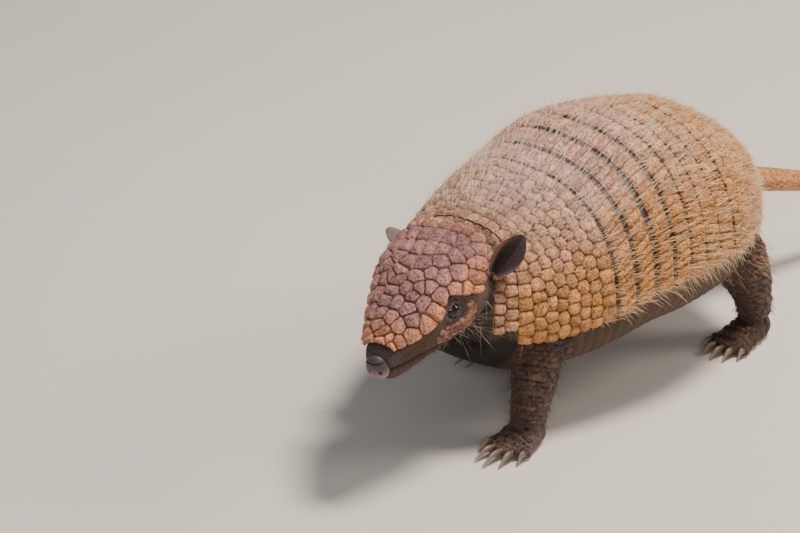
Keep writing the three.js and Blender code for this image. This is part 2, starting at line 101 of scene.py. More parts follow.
TAIL = [
    ((2, 150, 110), 13, 12.5), ((2, 176, 107), 12.5, 12), ((3, 219, 97), 10.5, 10),
    ((4, 269, 81), 8.8, 8.4), ((8, 320, 66), 6.6, 6.2), ((14, 366, 58), 3.6, 3.4),
]
LEGS = {
    "foreleg_left": [((55, -74, 96), 17, 22), ((63, -88, 66), 18, 21), ((69, -98, 42), 15.5, 17),
                     ((72, -106, 18), 12.5, 13.5)],
    "foreleg_right": [((-38, -74, 96), 17, 22), ((-46, -56, 66), 17, 21), ((-49, -34, 42), 15, 17),
                      ((-50, -15, 18), 12.5, 13.5)],
    "hindleg_left": [((50, 112, 104), 20, 27), ((59, 134, 74), 20, 25), ((64, 146, 46), 16, 18),
                     ((66, 150, 20), 12, 13)],
    "hindleg_right": [((-46, 96, 104), 20, 27), ((-57, 86, 74), 20, 25), ((-60, 88, 46), 16, 18),
                      ((-61, 92, 20), 12, 13)],
}
# rings of the sole as (ahead, half width, half depth, height of the middle)
FOREFOOT = {
    "sole": [(-15, 10, 8, 8), (-2, 14.5, 14, 9), (11, 17.5, 10, 6.5), (19, 15, 6, 4.8)],
    "toe_base": 17, "toes": [10, 13, 14, 12, 9], "claws": [11, 19, 20, 16, 10],
}
HINDFOOT = {
    "sole": [(-14, 10, 10, 9), (4, 14, 13, 9), (24, 17, 9.5, 6.5), (32, 15, 6, 4.8)],
    "toe_base": 30, "toes": [9, 12, 13, 11, 8.5], "claws": [9, 13, 14, 12, 8],
}
# plan, place of the wrist or ankle, heading in degrees, side of the inner toe
FEET = {
    "forefoot_left": (FOREFOOT, (72, -107), 8, -1),
    "forefoot_right": (FOREFOOT, (-50, -14), -4, 1),
    "hindfoot_left": (HINDFOOT, (66, 149), 6, -1),
    "hindfoot_right": (HINDFOOT, (-61, 90), -8, 1),
}
TOE_RADIUS = 5.2
TOE_UP = 4.9
CLAW_RADIUS = 3.4
EAR_LENGTH, EAR_WIDTH, EAR_CUP, EAR_WALL = 33, 10.8, 8.5, 2
EAR_AHEAD, EAR_OUT, EAR_UP = 0, 38.5, -31
EAR_RISE = {"left": (-0.53, 0.5, 0.69), "right": (-0.55, -0.78, 0.26)}
EAR_HOLLOW = {"left": (0.78, 0.5, 0.36), "right": (0.52, -0.58, -0.61)}
STEP_ALONG, STEP_ROUND = 0.05, 0.004  # steps that find a surface's directions, in mm and radians
FLOOR_HALF = 4000


def curve_through(table, column=1):
    """Smooth curve through the rows of a table that never swings past them (monotone cubic)."""
    xs = np.array([row[0] for row in table], float)
    ys = np.array([row[column] for row in table], float)
    step = np.diff(xs)
    slope = np.diff(ys) / step
    tangent = np.concatenate([slope[:1], np.zeros(len(xs) - 2), slope[-1:]])
    for i in range(1, len(xs) - 1):
        if slope[i - 1] * slope[i] > 0:
            before = 2 * step[i] + step[i - 1]
            after = step[i] + 2 * step[i - 1]
            tangent[i] = (before + after) / (before / slope[i - 1] + after / slope[i])

    def curve(x):
        x = np.asarray(x, float)
        i = np.clip(np.searchsorted(xs, x) - 1, 0, len(step) - 1)
        t = (x - xs[i]) / step[i]
        return ((1 + 2 * t) * (1 - t) ** 2 * ys[i] + t * (1 - t) ** 2 * step[i] * tangent[i]
                + t * t * (3 - 2 * t) * ys[i + 1] + t * t * (t - 1) * step[i] * tangent[i + 1])

    return curve


def bulge(value, exponent):
    """Rounded power, the building block of a superellipse."""
    return np.sign(value) * np.abs(value) ** (2 / exponent)


def unit(vectors):
    return vectors / np.maximum(np.linalg.norm(vectors, axis=-1, keepdims=True), 1e-12)


def smooth_step(low, high, value):
    t = np.clip((value - low) / (high - low), 0, 1)
    return t * t * (3 - 2 * t)


def lerp(a, b, t):
    return a + (b - a) * t


half_width_at, rise_at, margin_at = (curve_through(ARMOUR, column) for column in (1, 2, 3))
belly_at = curve_through(BELLY)
head_width_at, head_top_at, head_level_at, head_under_at = (curve_through(HEAD, c) for c in (1, 2, 3, 4))
shield_side_at = curve_through(SHIELD_SIDE)
shield_rear_at = curve_through(SHIELD_REAR)


def bent_point(y, across, height):
    """Point of the body's section at y, with the spine's sideways bow."""
    yaw = np.arctan(2 * BODY_BEND * y)
    return np.stack([BODY_BEND * y * y + across * np.cos(yaw), y - across * np.sin(yaw), height + 0 * y], -1)


def shell_surface(y, angle):
    y, angle = np.broadcast_arrays(np.asarray(y, float), np.asarray(angle, float))
    across = half_width_at(y) * bulge(np.sin(angle), ROUNDNESS)
    height = margin_at(y) + rise_at(y) * bulge(np.cos(angle), ROUNDNESS)
    return bent_point(y, across, height)


def surface_frame(surface, a, b, middle):
    """Points of a surface with unit vectors out of it, away from a middle, and along its first parameter."""
    a, b = np.broadcast_arrays(np.asarray(a, float), np.asarray(b, float))
    point = surface(a, b)
    along = unit(surface(a + STEP_ALONG, b) - surface(a - STEP_ALONG, b))
    around = surface(a, b + STEP_ROUND) - surface(a, b - STEP_ROUND)
    normal = unit(np.cross(along, around))
    flip = np.sum(normal * (point - middle(a)), -1, keepdims=True) < 0
    return point, np.where(flip, -normal, normal), along


def shell_frame(y, angle):
    """Armour's outer face: point, outward normal, and the way towards the tail."""
    return surface_frame(shell_surface, y, angle, lambda y: bent_point(y, 0 * y, margin_at(y)))


def head_axes():
    """Unit vectors of the head's own frame: ahead, left and up."""
    ahead, left, up = Vector((0, -1, 0)), Vector((1, 0, 0)), Vector((0, 0, 1))
    turn = Matrix.Rotation(math.radians(HEAD_TURN), 3, up)
    ahead, left = turn @ ahead, turn @ left
    nod = Matrix.Rotation(math.radians(HEAD_NOD), 3, left)
    ahead, up = nod @ ahead, nod @ up
    tilt = Matrix.Rotation(math.radians(HEAD_TILT), 3, ahead)
    return np.array([ahead, tilt @ left, tilt @ up])


HEAD_AXES = head_axes()


def head_place(local):
    """From the head's frame to the body's."""
    return np.asarray(local, float) @ HEAD_AXES + np.array(HEAD_PLACE)


def head_local(points):
    return (points - np.array(HEAD_PLACE)) @ HEAD_AXES.T


def on_head_line(ahead):
    return np.clip(ahead, HEAD[0][0], HEAD[-1][0])


def head_section(ahead, above):
    """Level of the head's widest part, with the roundness and reach of its section above or below it."""
    level = head_level_at(ahead)
    reach = np.where(above, head_top_at(ahead) - level, level - head_under_at(ahead))
    return level, np.where(above, HEAD_ROUND_TOP, HEAD_ROUND_JAW), reach


def head_surface(ahead, angle, lift=0.0):
    ahead, angle = np.broadcast_arrays(np.asarray(ahead, float), np.asarray(angle, float))
    level, exponent, reach = head_section(ahead, np.abs(angle) <= HALF_PI)
    across = (head_width_at(ahead) + lift) * bulge(np.sin(angle), exponent)
    height = level + (reach + lift) * bulge(np.cos(angle), exponent)
    return head_place(np.stack([ahead, across, height], -1))


def head_frame(ahead, angle, lift=0.0):
    """Head's surface: point, outward normal, and the way back towards the crown."""
    point, normal, along = surface_frame(
        lambda a, b: head_surface(a, b, lift), ahead, angle,
        lambda a: head_place(np.stack([a, 0 * a, head_level_at(a)], -1)))
    return point, normal, -along


def joint_at(index, angle):
    lean = BAND_LEAN * max(0, index - 4) * np.cos(angle) ** 2
    return SHOULDER_EDGE + BAND_PITCH * index - lean


def nape_at(angle):
    return NAPE_EDGE + NAPE_ARCH * np.cos(angle) ** 2


# Lengths round the armour's section, so that scutes keep their size from the crest to the margin.
_turns = np.linspace(-LAST_ANGLE, LAST_ANGLE, 721)


def section_length(y):
    return np.concatenate([[0], np.cumsum(np.linalg.norm(np.diff(shell_surface(y, _turns), axis=0), axis=1))])


_even = section_length(0.0)
_even = 2 * _even / _even[-1] - 1
_stations = np.linspace(-146, 173, 60)
_girths = np.array([section_length(y)[-1] / 2 for y in _stations])


def angle_at(share):
    """Angle round the armour at a share of the way from the crest (0) to a margin (-1 or 1)."""
    return np.interp(share, _even, _turns)


def half_girth_at(y):
    return np.interp(y, _stations, _girths)


# ---- meshes ----------------------------------------------------------------------------------------


def read_array(items, key, width, kind=float):
    """One row of numbers for each item of a mesh."""
    values = np.empty(len(items) * width, kind)
    items.foreach_get(key, values)
    return values.reshape(-1, width)


def points_of(mesh):
    return read_array(mesh.vertices, "co", 3)


def normals_of(mesh):
    return read_array(mesh.vertex_normals, "vector", 3)


def edges_of(mesh):
    return read_array(mesh.edges, "vertices", 2, int)


def add_layers(mesh, layers):
    for key, values in layers.items():
        layer = mesh.attributes.new(key, "FLOAT", "POINT")
        layer.data.foreach_set("value", np.asarray(values, float).ravel())


def add_object(name, data):
    thing = bpy.data.objects.new(name, data)
    bpy.context.scene.collection.objects.link(thing)
    return thing


def make_object(name, points, faces, layers=None):
    """Mesh object from millimetre points in the body's frame and arrays of faces with equal corners."""
    mesh = bpy.data.meshes.new(name)
    points = (np.asarray(points, float).reshape(-1, 3) - CENTRE) * MM
    counts = np.concatenate([np.full(len(f), f.shape[1]) for f in faces])
    corners = np.concatenate([np.asarray(f).ravel() for f in faces])
    mesh.vertices.add(len(points))
    mesh.vertices.foreach_set("co", points.ravel())
    mesh.loops.add(len(corners))
    mesh.loops.foreach_set("vertex_index", corners)
    mesh.polygons.add(len(counts))
    mesh.polygons.foreach_set("loop_start", np.concatenate([[0], np.cumsum(counts)[:-1]]))
    mesh.update(calc_edges=True)
    mesh.shade_smooth()
    add_layers(mesh, layers or {})
    return add_object(name, mesh)


def declare(piece, slot, material, *replaced):
    """Gives a finished piece its material, hangs it on the root body's empty and hides the imported parts that
    it replaces. The slot is not used.
    """
    piece.data.materials.append(material)
    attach(piece, "root")
    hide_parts(*replaced)


def grid_faces(rows, columns, start=0, closed=False):
    """Quads of a grid of points stored row by row, closed round its columns where asked."""
    r, c = np.meshgrid(np.arange(rows - 1), np.arange(columns if closed else columns - 1), indexing="ij")
    d = (c + 1) % columns
    quads = np.stack([r * columns + c, r * columns + d, (r + 1) * columns + d, (r + 1) * columns + c], -1)
    return quads.reshape(-1, 4) + start


def zip_strip(first, second):
    """Triangles between two rows of point numbers of different counts."""
    triangles = []
    i, j, m, n = 0, 0, len(first) - 1, len(second) - 1
    while i < m or j < n:
        if j == n or (i < m and (i + 1) * n <= (j + 1) * m):
            triangles.append((first[i], first[i + 1], second[j]))
            i += 1
        else:
            triangles.append((first[i], second[j + 1], second[j]))
            j += 1
    return np.array(triangles)


def plate_object(name, top, bottom, layers):
    """Closed plate between two grids with the same columns; each layer has its values for both."""
    rows, columns = top.shape[:2]
    low = rows * columns
    upper = np.arange(low).reshape(rows, columns)
    lower = np.arange(len(bottom) * columns).reshape(-1, columns) + low
    rims = [np.stack([a[:-1], a[1:], b[1:], b[:-1]], -1) for a, b in zip(upper[[0, -1]], lower[[0, -1]])]
    faces = [grid_faces(rows, columns)[:, ::-1], grid_faces(len(bottom), columns, low), rims[0][:, ::-1],
             rims[1], zip_strip(upper[:, 0], lower[:, 0])[:, ::-1], zip_strip(upper[:, -1], lower[:, -1])]
    points = np.concatenate([top.reshape(-1, 3), bottom.reshape(-1, 3)])
    layers = {key: np.append(above, np.broadcast_to(below, bottom.shape[:2]))
              for key, (above, below) in layers.items()}
    return outward(make_object(name, points, faces, layers))


def under_face(point, normal, depth, rows):
    """Coarse lower face of a plate, at a depth below points of its upper one."""
    keep = np.linspace(0, len(point) - 1, rows).round().astype(int)
    return point[keep] - normal[keep] * depth


def loft(rings):
    """Points and faces of a closed solid through rings of equal counts, with fans at both ends."""
    rings = np.asarray(rings, float)
    rows, columns = rings.shape[:2]
    points = np.concatenate([rings.reshape(-1, 3), rings[0].mean(0)[None], rings[-1].mean(0)[None]])
    k = np.arange(columns)
    n = (k + 1) % columns
    first = np.stack([n, k, np.full(columns, rows * columns)], -1)
    last = np.stack([k, n, np.full(columns, rows * columns + 1)], -1)
    last[:, :2] += (rows - 1) * columns
    return points, [grid_faces(rows, columns, closed=True), first, last]


def join_shapes(shapes):
    """One list of points and faces from several."""
    points = np.concatenate([p for p, _ in shapes])
    faces = []
    start = 0
    for p, f in shapes:
        faces += [part + start for part in f]
        start += len(p)
    return points, faces


def spline(rows, count):
    """Even samples of a Catmull-Rom curve through rows of numbers."""
    rows = np.asarray(rows, float)
    ends = np.concatenate([2 * rows[:1] - rows[1:2], rows, 2 * rows[-1:] - rows[-2:-1]])
    t = np.linspace(0, len(rows) - 1, count)
    i = np.minimum(t.astype(int), len(rows) - 2)
    t = (t - i)[:, None]
    a, b, c, d = (ends[i + k] for k in range(4))
    return 0.5 * (2 * b + (c - a) * t + (2 * a - 5 * b + 4 * c - d) * t * t + (3 * b - a - 3 * c + d) * t ** 3)


def limb_rows(stations, count):
    """Even samples along a limb: centre, half width and half depth."""
    return spline([(*at, wide, deep) for at, wide, deep in stations], count)


def full_turn(count):
    return np.linspace(0, 2 * math.pi, count, endpoint=False)


def limb_rings(stations, samples, sides):
    """Rings of a round limb, with its centre line and the two directions across it."""
    rows = limb_rows(stations, samples)
    centre, size = rows[:, :3], rows[:, 3:]
    along = unit(np.gradient(centre, axis=0))
    side = unit(np.array([1.0, 0, 0]) - along * along[:, :1])
    front = np.cross(along, side)
    turn = full_turn(sides)[None, :, None]
    rings = (centre[:, None] + side[:, None] * size[:, None, :1] * np.cos(turn)
             + front[:, None] * size[:, None, 1:] * np.sin(turn))
    return rings, centre, side, front


def outward(piece):
    """Turns a closed mesh's faces outward if its volume comes out negative."""
    mesh = piece.data
    mesh.calc_loop_triangles()
    co = points_of(mesh)[read_array(mesh.loop_triangles, "vertices", 3, int)]
    if np.sum(np.einsum("ij,ij->i", co[:, 0], np.cross(co[:, 1], co[:, 2]))) < 0:
        mesh.flip_normals()
    return piece


# ---- scutes ----------------------------------------------------------------------------------------


CORNER = 0.5  # how far a scute's corners are rounded, in mm


def scute_cells(points, seeds, tones):
    """For each point: distance to its scute's seam, distance to its middle, its tone, and a random tilt."""
    flat = points.reshape(-1, 3)
    cells = np.empty((4, len(flat)))
    lean = np.random.default_rng(len(seeds)).normal(0, 1, (len(seeds), 3))
    chunk = 20000  # points at a time, to spare memory
    for start in range(0, len(flat), chunk):
        part = flat[start:start + chunk]
        rows = np.arange(len(part))
        squares = ((part ** 2).sum(1)[:, None] - 2 * part @ seeds.T + (seeds ** 2).sum(1)[None])
        near = squares.argmin(1)
        first = squares[rows, near]
        squares[rows, near] = np.inf
        walls = []
        for _ in range(2):
            other = squares.argmin(1)
            gap = 2 * np.linalg.norm(seeds[near] - seeds[other], axis=1)
            walls.append((squares[rows, other] - first) / gap)
            squares[rows, other] = np.inf
        seam = walls[0] - CORNER * np.log1p(np.exp((walls[0] - walls[1]) / CORNER))
        cells[:, start:start + len(part)] = (
            np.maximum(seam, -0.6), np.sqrt(np.maximum(first, 0)), tones[near],
            np.einsum("ij,ij->i", part - seeds[near], lean[near]))
    return cells.reshape(4, *points.shape[:-1])


def ripple(points, size, seed):
    """Random smooth lumps of about the given size in millimetres, from -1 to 1."""
    rng = np.random.default_rng(seed)
    ways = unit(rng.normal(0, 1, (10, 3))) * 2 * math.pi / (size * rng.uniform(1.3, 2.6, (10, 1)))
    total = sum(np.sin(points @ way + start) for way, start in zip(ways, rng.uniform(0, 6.3, 10)))
    return total / 4.5


def scute_height(points, seam, reach, tilt, groove, dome, boss, half=3.6):
    """Relief of a scute: a groove at its seam, a pillowed top with a worn inner ring, and a slight tilt."""
    lumps = ripple(points, 3.2, 3)
    inside = smooth_step(0.3, 2.2, seam)
    swell = np.clip(seam / half, 0, 1)
    height = dome * np.sqrt(np.maximum(1 - (1 - swell) ** 2, 0))
    height -= groove * np.exp(-(np.maximum(seam, 0) / 0.48) ** 2)
    height -= 1.3 * boss * np.exp(-((seam - 1.9 - 0.4 * lumps) / 0.45) ** 2) * smooth_step(-0.5, 0.4, lumps)
    height += boss * np.exp(-(reach / 1.9) ** 2)
    return height + (0.05 * tilt + 0.24 * lumps) * inside


def shell_scutes(front, rear, shares, width, jitter, seed):
    """Middles of scutes in rows across the armour, as points on it; odd rows stand half a scute over."""
    rng = np.random.default_rng(seed)
    seeds = []
    for row, share in enumerate(shares):
        girth = half_girth_at(lerp(front(0.8), rear(0.8), share))
        count = max(5, round(2 * girth / width))
        spread = (np.arange(count + 1) - 0.5 * (row % 2)) / count * 2 - 1
        spread = spread[np.abs(spread) <= 1.02]
        spread += rng.normal(0, jitter * 1.2 / girth, len(spread))
        angle = angle_at(np.clip(spread, -1, 1))
        y = lerp(front(angle), rear(angle), share) + rng.normal(0, jitter, len(angle))
        seeds.append(shell_surface(y, angle))
    seeds = np.concatenate(seeds)
    return seeds, rng.random(len(seeds))


def warmth(points):
    """How orange the armour is: full at the margins, little along the back, more again at the rump."""
    back = smooth_step(-60, 20, points[..., 1])
    low = 1 - smooth_step(104 + 50 * back, 202 + 26 * back, points[..., 2])
    rump = 0.85 * smooth_step(0, 100, points[..., 1])
    return np.clip(np.maximum(low, rump), 0, 1)


def dusk(points):
    """How much the armour darkens over the shoulders towards the nape."""
    return smooth_step(-60, -125, points[..., 1]) * smooth_step(135, 185, points[..., 2])


def add_plate(name, node, front, rear, pitch, relief, scallop=0.0, under_rows=7, edge=1.6, warm=1.0,
              reach=1.0):
    """Armour plate between two edges on a grid of the given pitch, with relief from a function."""
    girth = half_girth_at(front(0.8)) + half_girth_at(rear(0.8))
    columns = int(girth / pitch)
    rows = max(8, int(abs(rear(HALF_PI) - front(HALF_PI)) / pitch))
    angle = angle_at(np.linspace(-reach, reach, columns))[None, :]
    share = np.linspace(0, 1, rows)[:, None]
    y = lerp(front(angle), rear(angle), share)
    angle = np.broadcast_to(angle, y.shape)
    point, normal, along = shell_frame(y, angle)
    height, seam, tone, slide = relief(point, y, angle, share)
    point = point + along * np.broadcast_to(slide, y.shape)[..., None]
    rim = np.minimum(share, 1 - share) * np.abs(rear(angle) - front(angle))
    height = height - 0.9 * (1 - smooth_step(0, edge, rim))
    across = np.abs(np.linspace(-1, 1, columns))[None, :]
    height = height - 1.2 * (1 - smooth_step(0, 2.0, (1 - across) * girth / 2))
    top = point + normal * height[..., None]
    droop = scallop * smooth_step(0.93, 1.0, across)
    top[..., 2] -= droop * (1 - np.exp(-(np.minimum(seam, 3.0) / 1.2) ** 2))
    bottom = under_face(point, normal, PLATE, under_rows)
    piece = plate_object(name, top, bottom, {
        "seam": (np.clip(seam / SEAM_REACH, 0, 1), 0), "tone": (tone - 0.65 * dusk(top), 0.5),
        "warm": (warm * warmth(top), warm * warmth(bottom))})
    declare(piece, "armour", scute_material(), node)


# shares of the way from a shield's front edge to its rear one where its rows of scutes have their middles
SCAPULAR_ROWS = (0.065, 0.19, 0.31, 0.425, 0.54, 0.655, 0.775, 0.92)
RUMP_ROWS = (0.06, 0.18, 0.3, 0.42, 0.53, 0.64, 0.74, 0.83, 0.91, 0.98)
SEAM_REACH = 3  # distance from a seam, in mm, past which the material no longer darkens

def joint_half(index):
    """Half width of the bare joint before band number index; the middle joints stand open the most."""
    return 2.15 + 1.2 * math.exp(-((index - 2.5) / 1.9) ** 2)


def scapular_rear(angle):
    return joint_at(0, angle) - joint_half(0)


def pelvic_front(angle):
    return joint_at(BAND_COUNT, angle) + joint_half(BAND_COUNT)


def band_row(angle, y, front, width, seed, slant):
    """Place of each point in a band's row of oblong scutes: distance to a seam, share across, and tone."""
    rng = np.random.default_rng(seed)
    reach = np.interp(angle, _turns, _even) * half_girth_at(y)
    reach = reach + slant * (y - front(angle)) * np.sign(angle) + 0.35 * np.sin(y / 2.3 + 9 * angle)
    half = int(170 / width)
    seams = np.arange(-half, half + 1) * width + rng.normal(0, 0.1 * width, 2 * half + 1)
    index = np.clip(np.searchsorted(seams, reach), 1, len(seams) - 1)
    left, right = reach - seams[index - 1], seams[index] - reach
    tones = rng.random(len(seams))
    lean = rng.normal(0, 1, len(seams))
    share = left / (left + right)
    return np.minimum(left, right), share, tones[index], lean[index]


def length(name, description, default, least, most, precision=4):
    """Property of a length that is given in millimetres."""
    return bpy.props.FloatProperty(name=name, description=description, default=default * MM, min=least * MM,
                                   max=most * MM, unit="LENGTH", precision=precision)


class ArmourSettings(bpy.types.PropertyGroup):
    scute_width: length("Scute width", "Distance between two scutes of a shield", 9.8, 6, 16)
    band_scute_width: length("Band scute width", "Distance between two seams of a movable band", 6.9, 6, 16)
    groove: length("Groove", "Depth of the grooves between scutes", 1.0, 0, 2)
    pitch: length("Mesh pitch", "Distance between two points of the armour's mesh", 0.78, 0.6, 3)


class ARMADILLO_OT_shields(bpy.types.Operator):
    """Adds the shoulder shield, the rump shield and the rows of scutes on the nape"""

    bl_idname = "armadillo.shields"
    bl_label = "Add shields"

    def execute(self, context):
        settings = context.scene.armadillo_armour
        width, groove, pitch = settings.scute_width / MM, settings.groove / MM, settings.pitch / MM
        cells = shell_scutes(nape_at, scapular_rear, SCAPULAR_ROWS, width, 0.85, 4)

        def scapular_relief(point, y, angle, share):
            seam, reach, tone, tilt = scute_cells(point, *cells)
            return scute_height(point, seam, reach, tilt, groove, 1.7, 0.35), seam, tone, 0

        add_plate("scapular_shield_scutes", "scapular_shield", nape_at, scapular_rear, pitch, scapular_relief,
                  2.2)

        def rump_edge(angle):
            return RUMP_EDGE + 0 * angle

        rump_cells = shell_scutes(pelvic_front, rump_edge, RUMP_ROWS, 0.94 * width, 0.5, 9)

        def rump_relief(point, y, angle, share):
            seam, reach, tone, tilt = scute_cells(point, *rump_cells)
            height = scute_height(point, seam, reach, tilt, groove, 1.6, 0.3)
            return height - 2.2 * (1 - smooth_step(0.5, 5, tail_clearance(point))), seam, tone, 0

        add_plate("pelvic_shield_scutes", "pelvic_shield", pelvic_front, rump_edge, pitch, rump_relief, 2.2)

        def front(angle):
            return nape_at(angle) - 17.0

        def rear(angle):
            return nape_at(angle) - 0.3

        nape_cells = shell_scutes(front, rear, (0.25, 0.72), 8.6, 0.4, 12)

        def nape_relief(point, y, angle, share):
            seam, reach, tone, tilt = scute_cells(point, *nape_cells)
            height = scute_height(point, seam, reach, tilt, 1.6 * groove, 2.6, 0.2)
            hidden = head_clearance(point)
            upper = smooth_step(1.12, 0.95, np.abs(angle))
            sunk = 0.9 + 1.0 * upper + 1.2 * (1 - smooth_step(-1, 2.5, hidden))
            # the tone drops on the upper nape close to the head: painted shade under the head shield's rim, and
            # grime
            return height - sunk, seam, tone - 0.7 * upper * (1 - smooth_step(1, 9, hidden)), 0

        add_plate("nuchal_scutes", "nuchal_band", front, rear, pitch, nape_relief, 1.0, edge=1.2, warm=0.62,
                  reach=0.93)
        return {"FINISHED"}

def tail_clearance(points):
    """Distance from the tail's surface, positive outside it."""
    flat = points.reshape(-1, 3)
    gap = np.full(len(flat), 1e9)
    for row in limb_rows(TAIL, 40)[:12]:
        gap = np.minimum(gap, np.linalg.norm(flat - row[:3], axis=1) - row[3])
    return gap.reshape(points.shape[:-1])


def head_clearance(points):
    """Rough distance from the head's surface, positive outside it."""
    local = head_local(points)
    ahead = on_head_line(local[..., 0])
    level, _, reach = head_section(ahead, local[..., 2] > head_level_at(ahead))
    width = head_width_at(ahead)
    share = np.sqrt((local[..., 1] / width) ** 2 + ((local[..., 2] - level) / reach) ** 2)
    return (share - 1) * width + np.maximum(0, HEAD[0][0] - local[..., 0])


class ARMADILLO_OT_bands(bpy.types.Operator):
    """Adds the seven movable bands of oblong scutes"""

    bl_idname = "armadillo.bands"
    bl_label = "Add movable bands"

    def execute(self, context):
        settings = context.scene.armadillo_armour
        width, groove = settings.band_scute_width / MM, settings.groove / MM
        for i in range(BAND_COUNT):
            def front(angle, i=i):
                return joint_at(i, angle) + joint_half(i) - 0.5

            def rear(angle, i=i):
                return joint_at(i + 1, angle) - joint_half(i + 1)

            def relief(point, y, angle, share, i=i, front=front):
                seam, across, tone, lean = band_row(angle, y, front, width, 20 + i, 0.13)
                lumps = ripple(point * [1, 0.45, 1], 2.4, 40 + i)
                pillow = np.sqrt(np.maximum(1 - (1 - np.clip(seam / 2.6, 0, 1)) ** 2, 0))
                height = 1.5 * pillow - groove * np.exp(-(seam / 0.6) ** 2)
                side = np.exp(-((np.abs(across - 0.5) - 0.27 - 0.03 * lumps) * width / 0.5) ** 2)
                height -= 0.35 * side * smooth_step(0.12, 0.4, share)
                height += 0.3 * (across - 0.5) * lean + 0.22 * lumps * smooth_step(0.4, 1.5, seam)
                height += 0.55 * share - 0.9 * (1 - smooth_step(0, 0.2, share))
                rear_end = smooth_step(0.7, 1, share)
                return height, seam, tone, rear_end * (0.22 * lean - 0.5 * np.exp(-(seam / 0.7) ** 2))

            add_plate(f"band_{i + 1}_scutes", f"band_{i + 1}", front, rear, settings.pitch / MM, relief, 2.4,
                      under_rows=3, edge=1.1)
        return {"FINISHED"}


# Middles of the head shield's scutes on the animal's left side, as (ahead, degrees round the head).
# Those past 25 degrees stand on the right side too.
HEAD_SCUTES = [
    (33, 86), (28, 70), (19, 57), (8, 46), (0, 37), (-2, 26), (-3, 14), (-3, 2), (-3, -10), (-2, -21),
    (40, 75), (47, 64), (37, 48), (26, 31), (16, 39), (9, 26), (12, 14), (11, 2), (12, -10), (13, -22),
    (46, 36), (36, 21), (26, 14), (27, 4), (29, -6), (29, -17),
    (59, 52), (42, 8), (48, 21), (54, 9), (58, 30), (61, 20), (65, 4), (69, 17), (70, 38), (69, 61),
    (78, 21), (76, 2), (88, 2), (92, 25), (84, 42), (78, 68), (91, 60), (101, 45), (103, 18), (99, 2),
    (106, 34), (105, 8), (94, -12), (86, -15), (76, -14), (68, -9), (60, -8), (56, -21), (51, -12),
    (43, -7), (38, -20),
]


class HeadSettings(bpy.types.PropertyGroup):
    groove: length("Groove", "Depth of the grooves of the head shield", 1.1, 0, 2)
    pitch: length("Mesh pitch", "Distance between two points of the head shield's mesh", 0.6, 0.4, 3)


SHIELD_LENGTH, SHIELD_HALF_WIDTH = 119, 58


class ARMADILLO_OT_head_shield(bpy.types.Operator):
    """Adds the head shield with its polygonal scutes"""

    bl_idname = "armadillo.head_shield"
    bl_label = "Add head shield"

    def execute(self, context):
        settings = context.scene.armadillo_head
        pitch, groove = settings.pitch / MM, settings.groove / MM
        places = HEAD_SCUTES + [(a, -t) for a, t in HEAD_SCUTES if t > 25]
        ahead, turn = np.array(places, float).T
        seeds = head_surface(ahead, np.radians(turn), SHIELD_LIFT)
        tones = np.random.default_rng(31).random(len(seeds))
        rows, columns = int(SHIELD_LENGTH / pitch), int(2 * SHIELD_HALF_WIDTH / pitch)
        spread = np.linspace(-1, 1, columns)
        share = np.linspace(0, 1, rows)[:, None]
        rear = shield_rear_at(np.abs(spread) * 90)

        def outline(pull_rear, pull_side):
            ahead = lerp((rear + pull_rear)[None, :], SHIELD_TIP, share)
            return ahead, spread[None, :] * np.radians(shield_side_at(ahead) - pull_side[:, None])

        ahead, angle = outline(0 * spread, 0 * share[:, 0])
        seam = scute_cells(head_surface(ahead, angle, SHIELD_LIFT), seeds, tones)[0]
        pull_rear = 1.3 * np.exp(-(seam[0] / 1.1) ** 2)
        pull_side = 4.0 * np.exp(-(np.minimum(seam[:, 0], seam[:, -1]) / 1.1) ** 2)
        ahead, angle = outline(pull_rear, pull_side)
        point, normal, _ = head_frame(ahead, angle, SHIELD_LIFT)
        seam, reach, tone, tilt = scute_cells(point, seeds, tones)
        height = scute_height(point, seam, reach, tilt, groove, 2.5, 0.4, 4.8) - 0.9
        edges = np.minimum(share * SHIELD_LENGTH, (1 - np.abs(spread))[None, :] * SHIELD_HALF_WIDTH)
        edges = np.minimum(edges, (1 - share) * SHIELD_LENGTH)
        height -= 1.3 * (1 - smooth_step(0, 2.2, edges)) ** 2
        height += 0.9 * np.exp(-((share * SHIELD_LENGTH - 4) / 3.5) ** 2)
        low = smooth_step(38, 80, np.abs(np.degrees(angle)))
        snout = smooth_step(78, 104, ahead) * 0.75
        rim = 0.6 * np.exp(-(share * SHIELD_LENGTH / 8) ** 2)
        piece = plate_object("head_shield_scutes", point + normal * height[..., None],
                             under_face(point, normal, SHIELD_PLATE, 24), {
            "seam": (np.clip(seam / SEAM_REACH, 0, 1), 0), "tone": (tone, 0),
            "warm": (np.maximum(np.maximum(low, snout), rim), 0)})
        declare(piece, "armour", scute_material("head"), "head_shield")
        return {"FINISHED"}


# ---- materials -------------------------------------------------------------------------------------


def colour(text):
    """Linear RGBA from an sRGB hex colour."""
    parts = [int(text[i:i + 2], 16) / 255 for i in (1, 3, 5)]
    return (*(c / 12.92 if c <= 0.04045 else ((c + 0.055) / 1.055) ** 2.4 for c in parts), 1.0)


def set_inputs(node, inputs):
    """Sets inputs, named or numbered, or links them to a socket or to the first live output of a node."""
    for key, value in inputs.items():
        if isinstance(value, bpy.types.Node):
            value = next(socket for socket in value.outputs if socket.enabled)
        if isinstance(value, bpy.types.NodeSocket):
            node.id_data.links.new(value, node.inputs[key])
        else:
            node.inputs[key].default_value = colour(value) if str(value)[:1] == "#" else value


def add_node(tree, kind, inputs=None, **settings):
    """Adds a node, by its full kind or a shader node by its short one, with its settings and inputs."""
    node = tree.nodes.new(kind if "Node" in kind else "ShaderNode" + kind)
    for key, value in settings.items():
        setattr(node, key, value)
    set_inputs(node, inputs or {})
    return node


